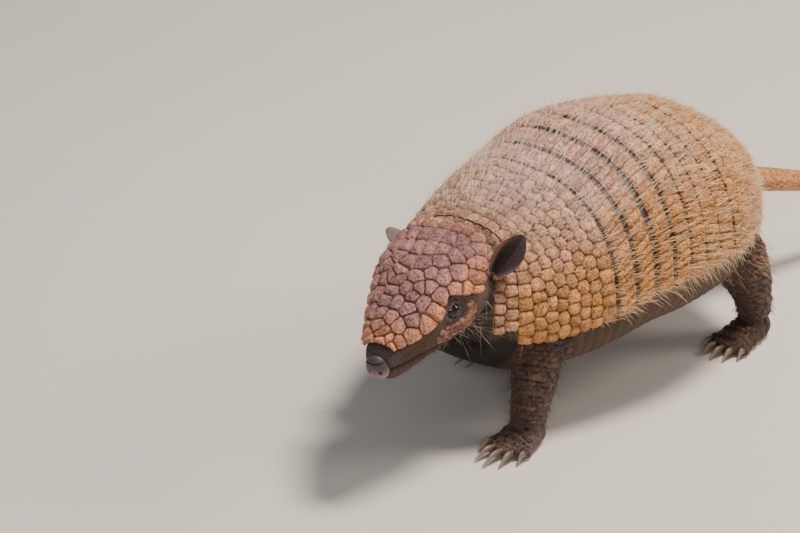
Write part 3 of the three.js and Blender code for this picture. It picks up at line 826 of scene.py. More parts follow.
def new_material(name, roughness, ior=1.5, specular=0.5, attributes=()):
    """Material with its node tree, its shader, and the mesh attributes that it reads."""
    material = bpy.data.materials.new(name)
    material.use_nodes = True
    tree = material.node_tree
    shader = tree.nodes["Principled BSDF"]
    set_inputs(shader, {"Roughness": roughness, "IOR": ior, "Specular IOR Level": specular})
    read = [add_node(tree, "Attribute", attribute_name=key).outputs["Fac"] for key in attributes]
    return material, tree, shader, *read


SCUTE_COLOURS = {
    "armour": ("#d0a496", "#c28444"), "head": ("#a17370", "#d28960"), "legs": ("#291b16", "#674536"),
    "cheeks": ("#765447", "#bf8567"),
}


def scute_material(part="armour"):
    """Horny scutes over bone: dry keratin, orange low on the flanks and mauve-brown along the back.

    Grooves hold dark grime and painted shade, a wider band of painted shade darkens the colour beside each
    seam, seams have a pale edge that is partly wear and partly a painted highlight, and a fine grain breaks the
    gloss.
    Noise scales are per metre: 55 gives blotches of 18 mm, 230 pebbles of 4 mm, 560 grains of 2 mm, 1500 of 0.7
    mm.
    """
    name = "horn of the " + part
    if name in bpy.data.materials:
        return bpy.data.materials[name]
    material, tree, shader, seam, tone, warm = new_material(
        name, 0.45, 1.54, 0.5, ("seam", "tone", "warm"))
    place = add_node(tree, "TexCoord").outputs["Object"]
    blotch = add_node(tree, "TexNoise", {"Vector": place, "Scale": 55.0, "Detail": 4.0})
    grain = add_node(tree, "TexNoise", {"Vector": place, "Scale": 560.0, "Detail": 3.0, "Roughness": 0.6})
    fine = add_node(tree, "TexNoise", {"Vector": place, "Scale": 1500.0, "Detail": 3.0})
    pebbles = add_node(tree, "TexNoise", {"Vector": place, "Scale": 230.0, "Detail": 5.0, "Roughness": 0.7,
                                          "Distortion": 0.6})
    shift = add_node(tree, "Math", {0: blotch, 1: 0.5}, operation="SUBTRACT")
    shift = add_node(tree, "Math", {0: shift, 1: 0.9, 2: warm}, operation="MULTIPLY_ADD", use_clamp=True)
    cool_colour, warm_colour = SCUTE_COLOURS[part]
    base = add_node(tree, "Mix", {0: shift, 6: cool_colour, 7: warm_colour}, data_type="RGBA")
    shade = add_node(tree, "MapRange", {"Value": tone, "To Min": 0.74, "To Max": 1.22}, clamp=False)
    spots = add_node(tree, "MapRange", {"Value": grain, "From Min": 0.3, "From Max": 0.7, "To Min": 0.42,
                                        "To Max": 1.55})
    wear = add_node(tree, "MapRange", {"Value": pebbles, "From Min": 0.34, "From Max": 0.68,
                                       "To Min": 0.58, "To Max": 1.46})
    # painted shade: the colour darkens to 0.56 of itself towards each seam, over about 1.8 mm
    valley_shade = add_node(tree, "MapRange", {"Value": seam, "From Max": 0.6, "To Min": 0.56, "To Max": 1.1},
                      interpolation_type="SMOOTHSTEP")
    for factor in (spots, wear, valley_shade):
        shade = add_node(tree, "Math", {0: shade, 1: factor}, operation="MULTIPLY")
    base = add_node(tree, "VectorMath", {0: base, "Scale": shade}, operation="SCALE")
    # pale rims beside the seams, up to 1.36 times brighter: partly wear, partly painted highlight
    uneven = add_node(tree, "Math", {0: pebbles, 1: 0.16, 2: seam}, operation="MULTIPLY_ADD")
    worn = add_node(tree, "MapRange", {"Value": uneven, "From Min": 0.62, "From Max": 0.36, "To Min": 1.0,
                                       "To Max": 1.36})
    pale = add_node(tree, "VectorMath", {0: base, "Scale": worn}, operation="SCALE")
    # dark brown in the narrowest part of each groove: partly grime, partly painted shade
    dirt_and_groove_shade = add_node(tree, "MapRange", {"Value": uneven, "From Min": 0.24, "From Max": 0.04, "To Min": 0.0,
                                       "To Max": 0.45 if part == "head" else 0.75},
                    interpolation_type="SMOOTHSTEP")
    final = add_node(tree, "Mix", {0: dirt_and_groove_shade, 6: pale, 7: "#4a2c1b"}, data_type="RGBA")
    gloss = add_node(tree, "MapRange", {"Value": grain, "From Min": 0.3, "From Max": 0.7, "To Min": 0.2,
                                        "To Max": 0.46})
    rough = add_node(tree, "Math", {0: grain, 1: 0.7, 2: fine}, operation="MULTIPLY_ADD")
    rough = add_node(tree, "Math", {0: pebbles, 1: 1.6, 2: rough}, operation="MULTIPLY_ADD")
    bump = add_node(tree, "Bump", {"Strength": 1.0, "Distance": 0.0013, "Height": rough})
    set_inputs(shader, {"Base Color": final, "Roughness": gloss, "Normal": bump})
    return material

# ---- stage -----------------------------------------------------------------------------------------


class StageSettings(bpy.types.PropertyGroup):
    floor_colour: bpy.props.FloatVectorProperty(
        name="Floor colour", description="Colour of the floor", subtype="COLOR", size=4,
        default=colour("#d9d6d0"), min=0, max=1)
    lens: bpy.props.FloatProperty(
        name="Lens", description="Focal length of the camera", default=132.8, min=20, max=400,
        subtype="DISTANCE_CAMERA")


def add_aimed(name, data, spot, aim):
    """Lamp or camera at a spot, turned to look at another."""
    holder = add_object(name, data)
    holder.location = spot
    holder.rotation_euler = (Vector(aim) - Vector(spot)).to_track_quat("-Z", "Y").to_euler()
    return holder


class ARMADILLO_OT_stage(bpy.types.Operator):
    """Adds the pale floor, the studio light and the camera"""

    bl_idname = "armadillo.stage"
    bl_label = "Add stage"

    def execute(self, context):
        scene = context.scene
        settings = scene.armadillo_stage
        points = FLOOR_HALF * np.array([[-1, -1, 0], [1, -1, 0], [1, 1, 0], [-1, 1, 0]], float) + CENTRE
        floor = make_object("floor", points - [0, 0, 0.2], [np.array([[0, 1, 2, 3]])])
        material, tree, shader = new_material("matt painted floor", 0.8)
        place = add_node(tree, "TexCoord").outputs["Object"]
        cloud = add_node(tree, "TexNoise", {"Vector": place, "Scale": 3.0, "Detail": 3.0})
        dark = (*(0.94 * c for c in settings.floor_colour[:3]), 1.0)
        mixed = add_node(tree, "Mix", {0: cloud, 6: tuple(settings.floor_colour), 7: dark}, data_type="RGBA")
        set_inputs(shader, {"Base Color": mixed})
        floor.data.materials.append(material)

        scene.world = bpy.data.worlds.new("soft room")
        scene.world.use_nodes = True
        set_inputs(scene.world.node_tree.nodes["Background"], {"Color": "#dfe3e8", "Strength": 0.33})
        for name, spot, aim, size, power, tint in (
                ("key light", (0.4, 0.45, 2.2), (0.0, -0.02, 0.1), 0.6, 71, "#fff0e0"),
                ("side light", (1.9, -1.7, 1.2), (0.0, 0.0, 0.1), 0.9, 15, "#fff6ec"),
                ("rear light", (1.2, 1.7, 1.5), (0.0, 0.05, 0.15), 0.9, 21, "#fff0dd")):
            lamp = bpy.data.lights.new(name, "AREA")
            lamp.shape = "DISK"
            lamp.size, lamp.energy, lamp.color = size, power, colour(tint)[:3]
            add_aimed(name, lamp, spot, aim)

        camera = bpy.data.cameras.new("camera")
        camera.lens = settings.lens
        camera.sensor_width = 36
        camera.clip_start, camera.clip_end = 0.05, 30
        spot, aim = ((np.array(at) - CENTRE) * MM for at in ([1463.0, -1451.0, 1088.0], [-74.0, -104.4, 93.1]))
        scene.camera = add_aimed("camera", camera, spot, aim)
        return {"FINISHED"}


# ---- tail ------------------------------------------------------------------------------------------


class ARMADILLO_OT_tail(bpy.types.Operator):
    """Adds the tail with its rings of small scutes"""

    bl_idname = "armadillo.tail"
    bl_label = "Add tail"

    def execute(self, context):
        samples, sides = 300, 72
        rings, centre, _, _ = limb_rings(TAIL, samples, sides)
        reach = np.concatenate([[0], np.cumsum(np.linalg.norm(np.diff(centre, axis=0), axis=1))])
        row = 26 * np.log(1 + reach / 118)
        turn = np.linspace(0, 1, sides, endpoint=False)[None, :]
        index = np.floor(row)[:, None]
        share = (row - np.floor(row))[:, None] + 0 * turn
        count = 16
        place = turn * count + 0.5 * (index % 2)
        across = place - np.floor(place)
        out = rings - centre[:, None]
        radius = np.linalg.norm(out, axis=2, keepdims=True)
        girth = 2 * math.pi * radius[..., 0] / count
        pitch = np.gradient(reach)[:, None] / np.maximum(np.gradient(row)[:, None], 1e-6)
        seam = np.minimum(np.minimum(across, 1 - across) * girth, np.minimum(share, 1 - share) * pitch)
        tone = np.modf(np.abs(np.sin((index * 37.7 + np.floor(place) * 12.9))) * 43.7)[0]
        height = -0.55 * np.exp(-(seam / 0.5) ** 2) + 0.35 * share
        end = smooth_step(0, 1, (reach[-1] - reach) / 5.0)[:, None, None]
        rings = centre[:, None] + out * np.sqrt(np.maximum(end, 0.02)) * (1 + height[..., None] / radius)
        piece = outward(make_object("tail_scutes", *loft(rings), {
            "seam": np.append(np.clip(seam / SEAM_REACH + 0.12, 0, 1), [0.5, 0.5]),
            "tone": np.append(tone, [0.5, 0.5]),
            "warm": np.append(np.full(samples * sides, 0.95), [0.7, 0.7])}))
        declare(piece, "armour", scute_material(), "tail")
        return {"FINISHED"}


# ---- hide ------------------------------------------------------------------------------------------


class HideSettings(bpy.types.PropertyGroup):
    voxel: length("Mesh pitch", "Size of the voxels that fuse the hide into one skin", 1.95, 1.2, 6)
    inset: length("Inset", "Depth of the hide under the tips of its hair and scales", 0.6, 0, 3)
    wrinkle: bpy.props.FloatProperty(
        name="Wrinkle", description="Strength of the hide's folds", default=1.0, min=0, max=3,
        subtype="FACTOR")


def trunk_ring(y, sides):
    """Section of the trunk under the armour, belly included."""
    angle = np.linspace(-math.pi, math.pi, sides, endpoint=False)
    depth = JOINT_SKIN + MARGIN_FLARE * np.abs(np.sin(angle)) ** 8
    upper = np.abs(angle) <= HALF_PI
    point, normal, _ = shell_frame(y, np.clip(angle, -LAST_ANGLE, LAST_ANGLE))
    across = (half_width_at(y) - depth) * bulge(np.sin(angle), BELLY_ROUNDNESS)
    height = margin_at(y) + belly_at(y) * bulge(np.cos(angle), BELLY_ROUNDNESS)
    lower = bent_point(y + 0 * across, across, height)
    return np.where(upper[:, None], point - normal * depth[:, None], lower)


def head_ring(ahead, sides, grow=0.0):
    return head_surface(ahead, np.linspace(-math.pi, math.pi, sides, endpoint=False), grow)


def foot_place(foot, ahead, inner, up):
    """From a foot's own frame, ahead and towards the inner toe, to the body's."""
    _, at, heading, side = foot
    turn = math.radians(heading)
    forward = np.array([math.sin(turn), -math.cos(turn), 0])
    inward = np.array([side * math.cos(turn), side * math.sin(turn), 0])
    ahead, inner, up = (np.asarray(v, float)[..., None] for v in (ahead, inner, up))
    return np.array([*at, 0.0]) + ahead * forward + inner * inward + up * np.array([0, 0, 1.0])


def toe_line(plan, index):
    """Root, end and fan of a toe in the foot's frame."""
    spread = 2 - index
    root = np.array([plan["toe_base"] - 0.9 * spread ** 2, 6.9 * spread])
    fan = 0.1 * spread
    reach = plan["toes"][index]
    return root, root + reach * np.array([math.cos(fan), math.sin(fan)]), fan


def foot_shapes(foot):
    """Closed shapes of a sole and its toes, flat on the floor."""
    turn = full_turn(28)[None, :]
    rows = spline(foot[0]["sole"], 18)
    ahead, wide, deep, up = (rows[:, i:i + 1] for i in range(4))
    shapes = [foot_place(foot, ahead + 0 * turn, wide * np.cos(turn), up + deep * np.sin(turn))]
    circle = full_turn(16)[None, :]
    share = np.array([-0.25, 0.0, 0.2, 0.35, 0.5, 0.65, 0.8, 0.92, 1.0, 1.05])[:, None]
    size = TOE_RADIUS * np.interp(share, [-0.25, 0, 0.3, 0.62, 0.85, 1.0, 1.05],
                                  [0.8, 0.92, 0.9, 1.1, 1.02, 0.75, 0.5])
    for index in range(5):
        root, end, fan = toe_line(foot[0], index)
        out = size * np.cos(circle)
        a = lerp(root[0], end[0], share) - out * math.sin(fan)
        s = lerp(root[1], end[1], share) + out * math.cos(fan)
        shapes.append(foot_place(foot, a, s, TOE_UP + size * np.sin(circle)))
    for rings in shapes:
        rings[..., 2] = np.maximum(rings[..., 2], 0.2)
    return [loft(rings) for rings in shapes]


def fused_hide(voxel):
    """One closed mesh of head, neck, trunk, legs and feet."""
    sides = 72
    shapes = [loft([trunk_ring(y, sides) for y in np.linspace(-128, 169, 60)])]
    last = trunk_ring(RUMP_EDGE - 3, sides)
    middle = last.mean(axis=0)
    shapes.append(loft([middle + (last - middle) * math.cos(turn) + np.array([0, 10 * math.sin(turn) - 2, 0])
                        for turn in np.linspace(0, 1.5, 12)]))
    trunk_front = [trunk_ring(y, sides) for y in (-122, -133, -144)]
    head_back = [head_ring(-15, sides, 1.0), head_ring(2, sides, -2.0)]
    between = (trunk_front[-1] + head_back[0]) / 2
    neck = np.array([*trunk_front, between, *head_back]).reshape(6, -1)
    shapes.append(loft(spline(neck, 30).reshape(30, sides, 3)))
    shapes.append(loft([head_ring(ahead, sides) for ahead in np.linspace(-18, 112, 70)]))
    for stations in LEGS.values():
        shapes.append(loft(limb_rings(stations, 40, 40)[0]))
    for foot in FEET.values():
        shapes += foot_shapes(foot)
    source = make_object("hide_source", *join_shapes([oriented(*shape) for shape in shapes]))
    fuse = source.modifiers.new("fuse", "REMESH")
    fuse.mode = "VOXEL"
    fuse.voxel_size = voxel
    graph = bpy.context.evaluated_depsgraph_get()
    mesh = bpy.data.meshes.new_from_object(source.evaluated_get(graph))
    bpy.data.objects.remove(source)
    return mesh


def oriented(points, faces):
    """The shape with its faces turned outward."""
    volume = 0.0
    for part in faces:
        corners = points[part]
        for k in range(1, part.shape[1] - 1):
            volume += np.sum(np.einsum("ij,ij->i", corners[:, 0], np.cross(corners[:, k], corners[:, k + 1])))
    return (points, [part[:, ::-1] for part in faces]) if volume < 0 else (points, faces)


def relax(points, edges, rounds, amount=0.5):
    """Evens out a mesh by moving each point towards the middle of its neighbours."""
    a, b = edges.T
    count = np.bincount(a, minlength=len(points)) + np.bincount(b, minlength=len(points))
    count = np.maximum(count, 1)[:, None]
    for _ in range(rounds):
        total = np.stack([np.bincount(a, points[b, k], len(points)) + np.bincount(b, points[a, k], len(points))
                          for k in range(3)], -1)
        points = lerp(points, total / count, amount)
    return points


def body_section(points):
    """Inverse of the body's bow: distance along it and sideways place in the section."""
    y = points[:, 1].copy()
    for _ in range(4):
        yaw = np.arctan(2 * BODY_BEND * y)
        across = (points[:, 0] - BODY_BEND * y * y) / np.cos(yaw)
        y = points[:, 1] + across * np.sin(yaw)
    return y, across


def tuck_under_armour(points, depth):
    """Pulls what stands above the armour's margin inside its inner face."""
    y, across = body_section(points)
    height = points[:, 2] - margin_at(y)
    width, rise = half_width_at(y), rise_at(y)
    share = (np.abs(across / width) ** ROUNDNESS + np.abs(height / rise) ** ROUNDNESS) ** (1 / ROUNDNESS)
    limit = 1 - depth / np.minimum(width, rise)
    scale = np.where(share > limit, limit / np.maximum(share, 1e-6), 1)
    inside = smooth_step(-3, 5, height) * smooth_step(-150, -138, y) * (1 - smooth_step(168, 171, y))
    scale = lerp(1, scale, inside)
    moved = bent_point(y, across * scale, margin_at(y) + height * lerp(1, scale, inside))
    return np.where((inside > 0)[:, None], moved, points)


def head_turn(local):
    """Angle round the head's section of points in its frame, in degrees from the crown."""
    ahead = on_head_line(local[:, 0])
    top = local[:, 2] > head_level_at(ahead)
    level, exponent, reach = head_section(ahead, top)
    sine = np.abs(local[:, 1] / head_width_at(ahead)) ** (exponent / 2)
    cosine = np.abs((local[:, 2] - level) / reach) ** (exponent / 2) * np.where(top, 1, -1)
    return np.degrees(np.arctan2(sine, cosine))


EYE_AXIS = unit(np.array([0.2, 1.0, 0.12]))
MOUTH = [(50, 138), (60, 131), (72, 123), (85, 114), (97, 106), (106, 98), (112, 92)]
mouth_at = curve_through(MOUTH)


def eye_space(local):
    """Place round the nearer eye: share of the lid opening, depth along its axis, and place across it."""
    side = np.where(local[:, 1] < 0, -1.0, 1.0)
    mirrored = local * np.stack([side ** 0, side, side ** 0], -1)
    away = mirrored - np.array([EYE_AHEAD, EYE_OUT, EYE_UP])
    depth = away @ EYE_AXIS
    flat = away - depth[:, None] * EYE_AXIS
    opening = np.hypot(flat[:, 0] / 6.4, flat[:, 2] / np.where(flat[:, 2] > 0, 5.2, 5.4))
    return opening, depth, flat


def face_relief(points, wrinkle):
    """Moves the head's hide: lids, folds, lips and snout rings. Gives new points and the painted shade in the
    lips' groove and the lids' folds.
    """
    local = head_local(points)
    on_head = smooth_step(-6, 4, local[:, 0])
    turn = head_turn(local)
    ahead = local[:, 0]
    out = unit(np.stack([0 * ahead, local[:, 1], local[:, 2] - head_level_at(on_head_line(ahead))], -1))
    noise = np.sin(ahead * 0.9 + 2.1 * np.sin(turn * 0.11)) * np.sin(turn * 0.21 + ahead * 0.37)
    height = 0.18 * wrinkle * noise

    past_mouth = turn - mouth_at(np.clip(ahead, 50, 112))
    lips = np.exp(-(past_mouth / 3.2) ** 2) * smooth_step(50, 62, ahead)
    height -= 1.3 * lips
    height += 0.6 * np.exp(-((past_mouth - 9) / 6) ** 2) * smooth_step(55, 70, ahead)
    snout = smooth_step(99, 104, ahead)
    height -= 0.55 * wrinkle * snout * np.exp(-(((ahead - 106.3) % 2.6 - 1.3) / 0.5) ** 2)
    under_shield = 1 - smooth_step(0, 5, turn - shield_side_at(np.clip(ahead, -12, 108)))
    height -= 0.9 * under_shield * smooth_step(20, 30, ahead)

    opening, _, flat = eye_space(local)
    near = 1 - smooth_step(1.7, 2.6, opening)
    folds = np.sin((opening + 0.12 * np.sin(5 * np.arctan2(flat[:, 2], flat[:, 0]))) * 2 * math.pi / 0.5)
    height += 0.32 * wrinkle * folds * smooth_step(1.45, 1.7, opening) * near
    # painted shade: darkness in the lips' groove and in the sunken rings of the lid folds
    dark = np.clip(lips + 0.4 * (folds < -0.3) * near * (opening > 1.4), 0, 1)

    radial = np.linalg.norm(flat, axis=1)
    ball = np.sqrt(np.maximum(6.1 ** 2 - radial ** 2, 0)) - 1.2
    lid = np.sqrt(np.maximum((EYE_RADIUS + 1.0) ** 2 - radial ** 2, 0)) - 0.4 * (opening - 1)
    local = local + out * (height * on_head)[:, None]
    depth = eye_space(local)[1]
    wanted = np.where(opening < 1.0, ball, lerp(lid, depth, smooth_step(1.15, 2.0, opening)))
    move = np.where((opening < 2.0) & (depth > -8), wanted - depth, 0)
    side = np.where(local[:, 1:2] < 0, -1, 1)
    local = local + move[:, None] * EYE_AXIS * np.concatenate([side ** 0, side, side ** 0], 1)
    return head_place(local), dark * on_head


class ARMADILLO_OT_hide(bpy.types.Operator):
    """Adds the hide, one skin over head, neck, trunk, legs and feet"""

    bl_idname = "armadillo.hide"
    bl_label = "Add hide"

    def execute(self, context):
        settings = context.scene.armadillo_hide
        mesh = fused_hide(settings.voxel)
        points = relax(points_of(mesh), edges_of(mesh), 5)
        mesh.vertices.foreach_set("co", points.ravel())
        points = points - normals_of(mesh) * settings.inset
        mesh.vertices.foreach_set("co", points.ravel())
        mesh.update()
        refine(mesh)

        points = relax(points_of(mesh), edges_of(mesh), 1) / MM + CENTRE
        points = tuck_under_armour(points, JOINT_SKIN)
        points, fold_shade = face_relief(points, settings.wrinkle)
        points, crease_shade = body_relief(points, normals_of(mesh), settings.wrinkle)
        points[:, 2] = np.maximum(points[:, 2], 0.15)
        mesh.vertices.foreach_set("co", ((points - CENTRE) * MM).ravel())
        mesh.update()
        add_layers(mesh, hide_zones(points, np.clip(fold_shade + crease_shade, 0, 1)))
        mesh.shade_smooth()
        mesh.materials.clear()
        declare(add_object("hide", mesh), "skin", hide_material(), "head", "neck", "trunk", *LEGS, *FEET)
        return {"FINISHED"}


def refine(mesh):
    """Splits the faces of the bare face once more."""
    work = bmesh.new()
    work.from_mesh(mesh)
    local = head_local(points_of(mesh) / MM + CENTRE)
    shown = (local[:, 0] > 22) & (np.abs(local[:, 1]) < 45) & (np.abs(local[:, 2] + 35) < 40)
    shown &= head_turn(local) > shield_side_at(np.clip(local[:, 0], -12, 108)) - 9
    edges = [e for e in work.edges if shown[e.verts[0].index] and shown[e.verts[1].index]]
    bmesh.ops.subdivide_edges(work, edges=edges, cuts=1, use_grid_fill=True)
    work.to_mesh(mesh)
    work.free()
    mesh.update()


def leg_share(points):
    """How much each point belongs to a leg or foot, from 0 to 1."""
    share = np.zeros(len(points))
    for stations in LEGS.values():
        for row in limb_rows(stations, 14)[3:]:
            gap = np.linalg.norm(points - row[:3], axis=1) - row[3]
            share = np.maximum(share, 1 - smooth_step(2, 14, gap))
    return np.maximum(share, 1 - smooth_step(14, 26, points[:, 2]))


def body_relief(points, normals, wrinkle):
    """Folds of the neck, creases of the legs and the belly's rows of skin, with the painted shade in their
    hollows.
    """
    x, y, z = points.T
    ahead, left, up = head_local(points).T
    circle = 2 * math.pi
    neck = smooth_step(-34, -26, ahead) * (1 - smooth_step(0, 14, ahead)) * smooth_step(70, 90, z)
    wave = np.sin(ahead * circle / 5.2 + 1.4 * np.sin(up * 0.21) + 0.8 * np.sin(left * 0.3))
    legs = leg_share(points) * smooth_step(12, 24, z)
    ring = np.sin(z * circle / 5.6 + 0.9 * np.sin(x * 0.33) + 0.9 * np.sin(y * 0.31))
    belly = (1 - smooth_step(78, 92, z)) * (1 - legs) * smooth_step(-116, -88, y)
    rows = np.sin(y * circle / 9.0 + 0.8 * np.sin(x * 0.16))
    height = 0.75 * neck * wave + 0.35 * legs * ring + 0.45 * belly * rows
    # painted shade in the sunken parts of the neck folds, leg rings and belly rows
    crease_shade = 0.55 * neck * smooth_step(0.1, -0.8, wave) + 0.5 * legs * smooth_step(0, -0.9, ring)
    return points + normals * (wrinkle * height)[:, None], crease_shade + 0.3 * belly * smooth_step(0, -0.9, rows)


def hide_zones(points, fold_shade):
    """Shares of the hide's colours."""
    y, z = points[:, 1], points[:, 2]
    local = head_local(points)
    head = smooth_step(2, 20, local[:, 0])
    leg = leg_share(points)
    return {
        "fold_shade": fold_shade,
        "muzzle": head * smooth_step(58, 78, on_head_line(local[:, 0])),
        "snout": smooth_step(100, 105, local[:, 0]) * smooth_step(-46, -38, local[:, 2]),
        "face": head,
        "neck": smooth_step(78, 100, z) * (1 - head) * (y < -105),
        "leg": leg,
        # painted shade: the throat and chest under the chin are coloured near black
        "throat": (1 - smooth_step(-104, -88, y)) * (1 - smooth_step(84, 98, z)) * (1 - leg),
        "joint": (smooth_step(-2, 8, z - margin_at(body_section(points)[0])) * (y > -118)
                  * (1 - smooth_step(158, 166, y))),
        "lid": 1 - smooth_step(1.4, 1.75, eye_space(local)[0]),
    }


# each zone's two colours, laid over the belly's dark brown in this order; the throat's near black is painted
# shade under the chin and chest
HIDE_COLOURS = {
    "leg": ("#2c1d17", "#5a3d32"), "neck": ("#3f312c", "#857068"), "face": ("#4b3b36", "#6d5a55"),
    "muzzle": ("#271b14", "#6a503d"), "throat": ("#0d0807", "#261c16"), "snout": ("#382c2a", "#6d5c57"),
    "lid": ("#4d4546", "#8a7d7c"), "joint": ("#4f4b49", "#8b8581"),
}


def hide_material():
    """Bare leathery skin: dark brown on belly and legs, near black at the throat as painted shade under the
    chin, grey in the joints, and painted shade darkening its folds.

    A grain of about 1.5 mm and cells of about 2.4 mm give the eye a dry, wrinkled surface.
    """
    material, tree, shader, fold_shade, *shares = new_material(
        "leathery skin", 0.62, 1.45, 0.35, ("fold_shade", *HIDE_COLOURS))
    place = add_node(tree, "TexCoord").outputs["Object"]
    blotch = add_node(tree, "TexNoise", {"Vector": place, "Scale": 90.0, "Detail": 4.0})
    grain = add_node(tree, "TexNoise", {"Vector": place, "Scale": 650.0, "Detail": 5.0, "Roughness": 0.6})
    cells = add_node(tree, "TexVoronoi", {"Vector": place, "Scale": 420.0}, feature="DISTANCE_TO_EDGE")
    shade = add_node(tree, "Mix", {0: blotch, 6: "#3d2c23", 7: "#6b5040"}, data_type="RGBA")
    for share, (first, second) in zip(shares, HIDE_COLOURS.values()):
        pair = add_node(tree, "Mix", {0: grain, 6: first, 7: second}, data_type="RGBA")
        shade = add_node(tree, "Mix", {0: share, 6: shade, 7: pair}, data_type="RGBA")
    crack = add_node(tree, "MapRange", {"Value": cells, "From Min": 0.0, "From Max": 0.12, "To Min": 0.45,
                                        "To Max": 1.0})
    shade = add_node(tree, "VectorMath", {0: shade, "Scale": crack}, operation="SCALE")
    # painted shade: near black in the hide's folds and creases
    final = add_node(tree, "Mix", {0: fold_shade, 6: shade, 7: "#120c09"}, data_type="RGBA")
    height = add_node(tree, "Math", {0: cells, 1: 1.6, 2: grain}, operation="MULTIPLY_ADD")
    bump = add_node(tree, "Bump", {"Strength": 0.55, "Distance": 0.0008, "Height": height})
    set_inputs(shader, {"Base Color": final, "Normal": bump})
    return material


# ---- ears, eyes, nose, claws -----------------------------------------------------------------------


class ARMADILLO_OT_ears(bpy.types.Operator):
    """Adds the two cupped ears"""

    bl_idname = "armadillo.ears"
    bl_label = "Add ears"

    def execute(self, context):
        material = ear_material()
        up = np.linspace(-0.12, 1, 60)[:, None]
        spread = np.linspace(-1, 1, 56)[None, :]
        width = EAR_WIDTH * np.sin(math.pi * np.clip(0.16 + 0.8 * up, 0.1, 1)) ** 0.7
        cup = EAR_CUP * (1 - spread ** 2) * (1.3 - 0.4 * up) * width / EAR_WIDTH
        ridge = 0.5 * np.exp(-((spread - 0.25) / 0.12) ** 2) + 0.35 * np.exp(-((spread + 0.3) / 0.1) ** 2)
        waves = 0.12 * np.sin(up * 46 + 3 * spread) * (1 - spread ** 2)
        wall = EAR_WALL * (0.35 + 0.65 * (1 - np.abs(spread) ** 3)) * (1 - 0.45 * np.clip(up, 0, 1))
        depths = (waves - ridge * smooth_step(0.0, 0.4, up), wall)
        # painted shade: share of the hollow's near black, strongest in the middle of the cup, towards one side
        # and near the root
        inside = ((1 - np.abs(spread) ** 3) * (1 - 0.6 * smooth_step(0.0, 0.7, spread))
                  * (1 - 0.4 * np.clip(up, 0, 1) ** 2))
        front = (smooth_step(-0.55, -0.75, spread) * (1 - smooth_step(0.55, 0.9, up))
                 * smooth_step(-0.05, 0.1, up))
        for name, side in (("left", 1), ("right", -1)):
            rise = unit(np.array(EAR_RISE[name]))
            hollow = np.array(EAR_HOLLOW[name])
            hollow = unit(hollow - rise * (hollow @ rise))
            across = np.cross(rise, hollow)
            root = np.array([EAR_AHEAD, side * EAR_OUT, EAR_UP - (5 if side < 0 else 0)])
            flat = root + rise * (EAR_LENGTH * up)[..., None] + across * (width * spread)[..., None]
            leaves = [head_place(flat - hollow * (cup + depth)[..., None]) for depth in depths]
            piece = plate_object(f"ear_{name}_leaf", *leaves, {"inside": (inside, 0), "front": (front, 0)})
            declare(piece, "skin", material, f"ear_{name}")
        return {"FINISHED"}


def ear_material():
    """Thin ear leather: purple-grey outside and along the rim, near black in the hollow as painted shade,
    darkest near the root.

    Wrinkles of about 2.4 mm, a noise scale of 420 per metre, break its sheen.
    """
    material, tree, shader, inside, front = new_material("ear leather", 0.55, 1.45, 0.35, ("inside", "front"))
    place = add_node(tree, "TexCoord").outputs["Object"]
    grain = add_node(tree, "TexNoise", {"Vector": place, "Scale": 420.0, "Detail": 6.0, "Roughness": 0.65})
    back = add_node(tree, "Mix", {0: grain, 6: "#4c3d3e", 7: "#9a8384"}, data_type="RGBA")
    # painted shade of the hollow
    hollow = add_node(tree, "Mix", {0: grain, 6: "#0b0706", 7: "#33241f"}, data_type="RGBA")
    mixed = add_node(tree, "Mix", {0: inside, 6: back, 7: hollow}, data_type="RGBA")
    mixed = add_node(tree, "Mix", {0: front, 6: mixed, 7: "#8d6853"}, data_type="RGBA")
    bump = add_node(tree, "Bump", {"Strength": 0.5, "Distance": 0.0006, "Height": grain})
    set_inputs(shader, {"Base Color": mixed, "Normal": bump})
    return material


def ball_points(rows, sides):
    """Unit directions of a ball, poles along the first axis, as rings."""
    tilt = np.linspace(0.02, math.pi - 0.02, rows)[:, None]
    turn = full_turn(sides)[None, :]
    return np.stack([np.cos(tilt) + 0 * turn, np.sin(tilt) * np.cos(turn), np.sin(tilt) * np.sin(turn)], -1)


class ARMADILLO_OT_eyes(bpy.types.Operator):
    """Adds the two eyes with their clear bulging front"""

    bl_idname = "armadillo.eyes"
    bl_label = "Add eyes"

    def execute(self, context):
        material = eye_material()
        ball = ball_points(40, 48)
        ahead = ball[..., 0]
        iris = smooth_step(0.55, 0.8, ahead) * (1 - smooth_step(0.9, 0.96, ahead))
        swell = 0.35 * np.exp(-((1 - ahead) / 0.12) ** 2)
        ball = ball * (EYE_RADIUS - 0.2 + swell)[..., None]
        for name, side in (("left", 1), ("right", -1)):
            axis = EYE_AXIS * np.array([1, side, 1])
            up = unit(np.array([0, 0, 1.0]) - axis * axis[2])
            out = np.cross(axis, up)
            local = (np.array([EYE_AHEAD, side * EYE_OUT, EYE_UP]) + ball[..., :1] * axis
                     + ball[..., 1:2] * out + ball[..., 2:] * up)
            piece = outward(make_object(f"eye_{name}_ball", *loft(head_place(local)),
                                        {"iris": np.append(iris, [0, 0])}))
            declare(piece, "eye", material, f"eye_{name}")
        return {"FINISHED"}


def eye_material():
    """Wet dark eye: nearly black under a thin clear coat, with a faint brown ring round the pupil."""
    material, tree, shader, iris = new_material("moist dark eye", 0.04, 1.38, 0.5, ("iris",))
    tint = add_node(tree, "Mix", {0: iris, 6: "#140d0a", 7: "#2c1c14"}, data_type="RGBA")
    set_inputs(shader, {"Base Color": tint, "Coat Weight": 0.25, "Coat Roughness": 0.02})
    return material


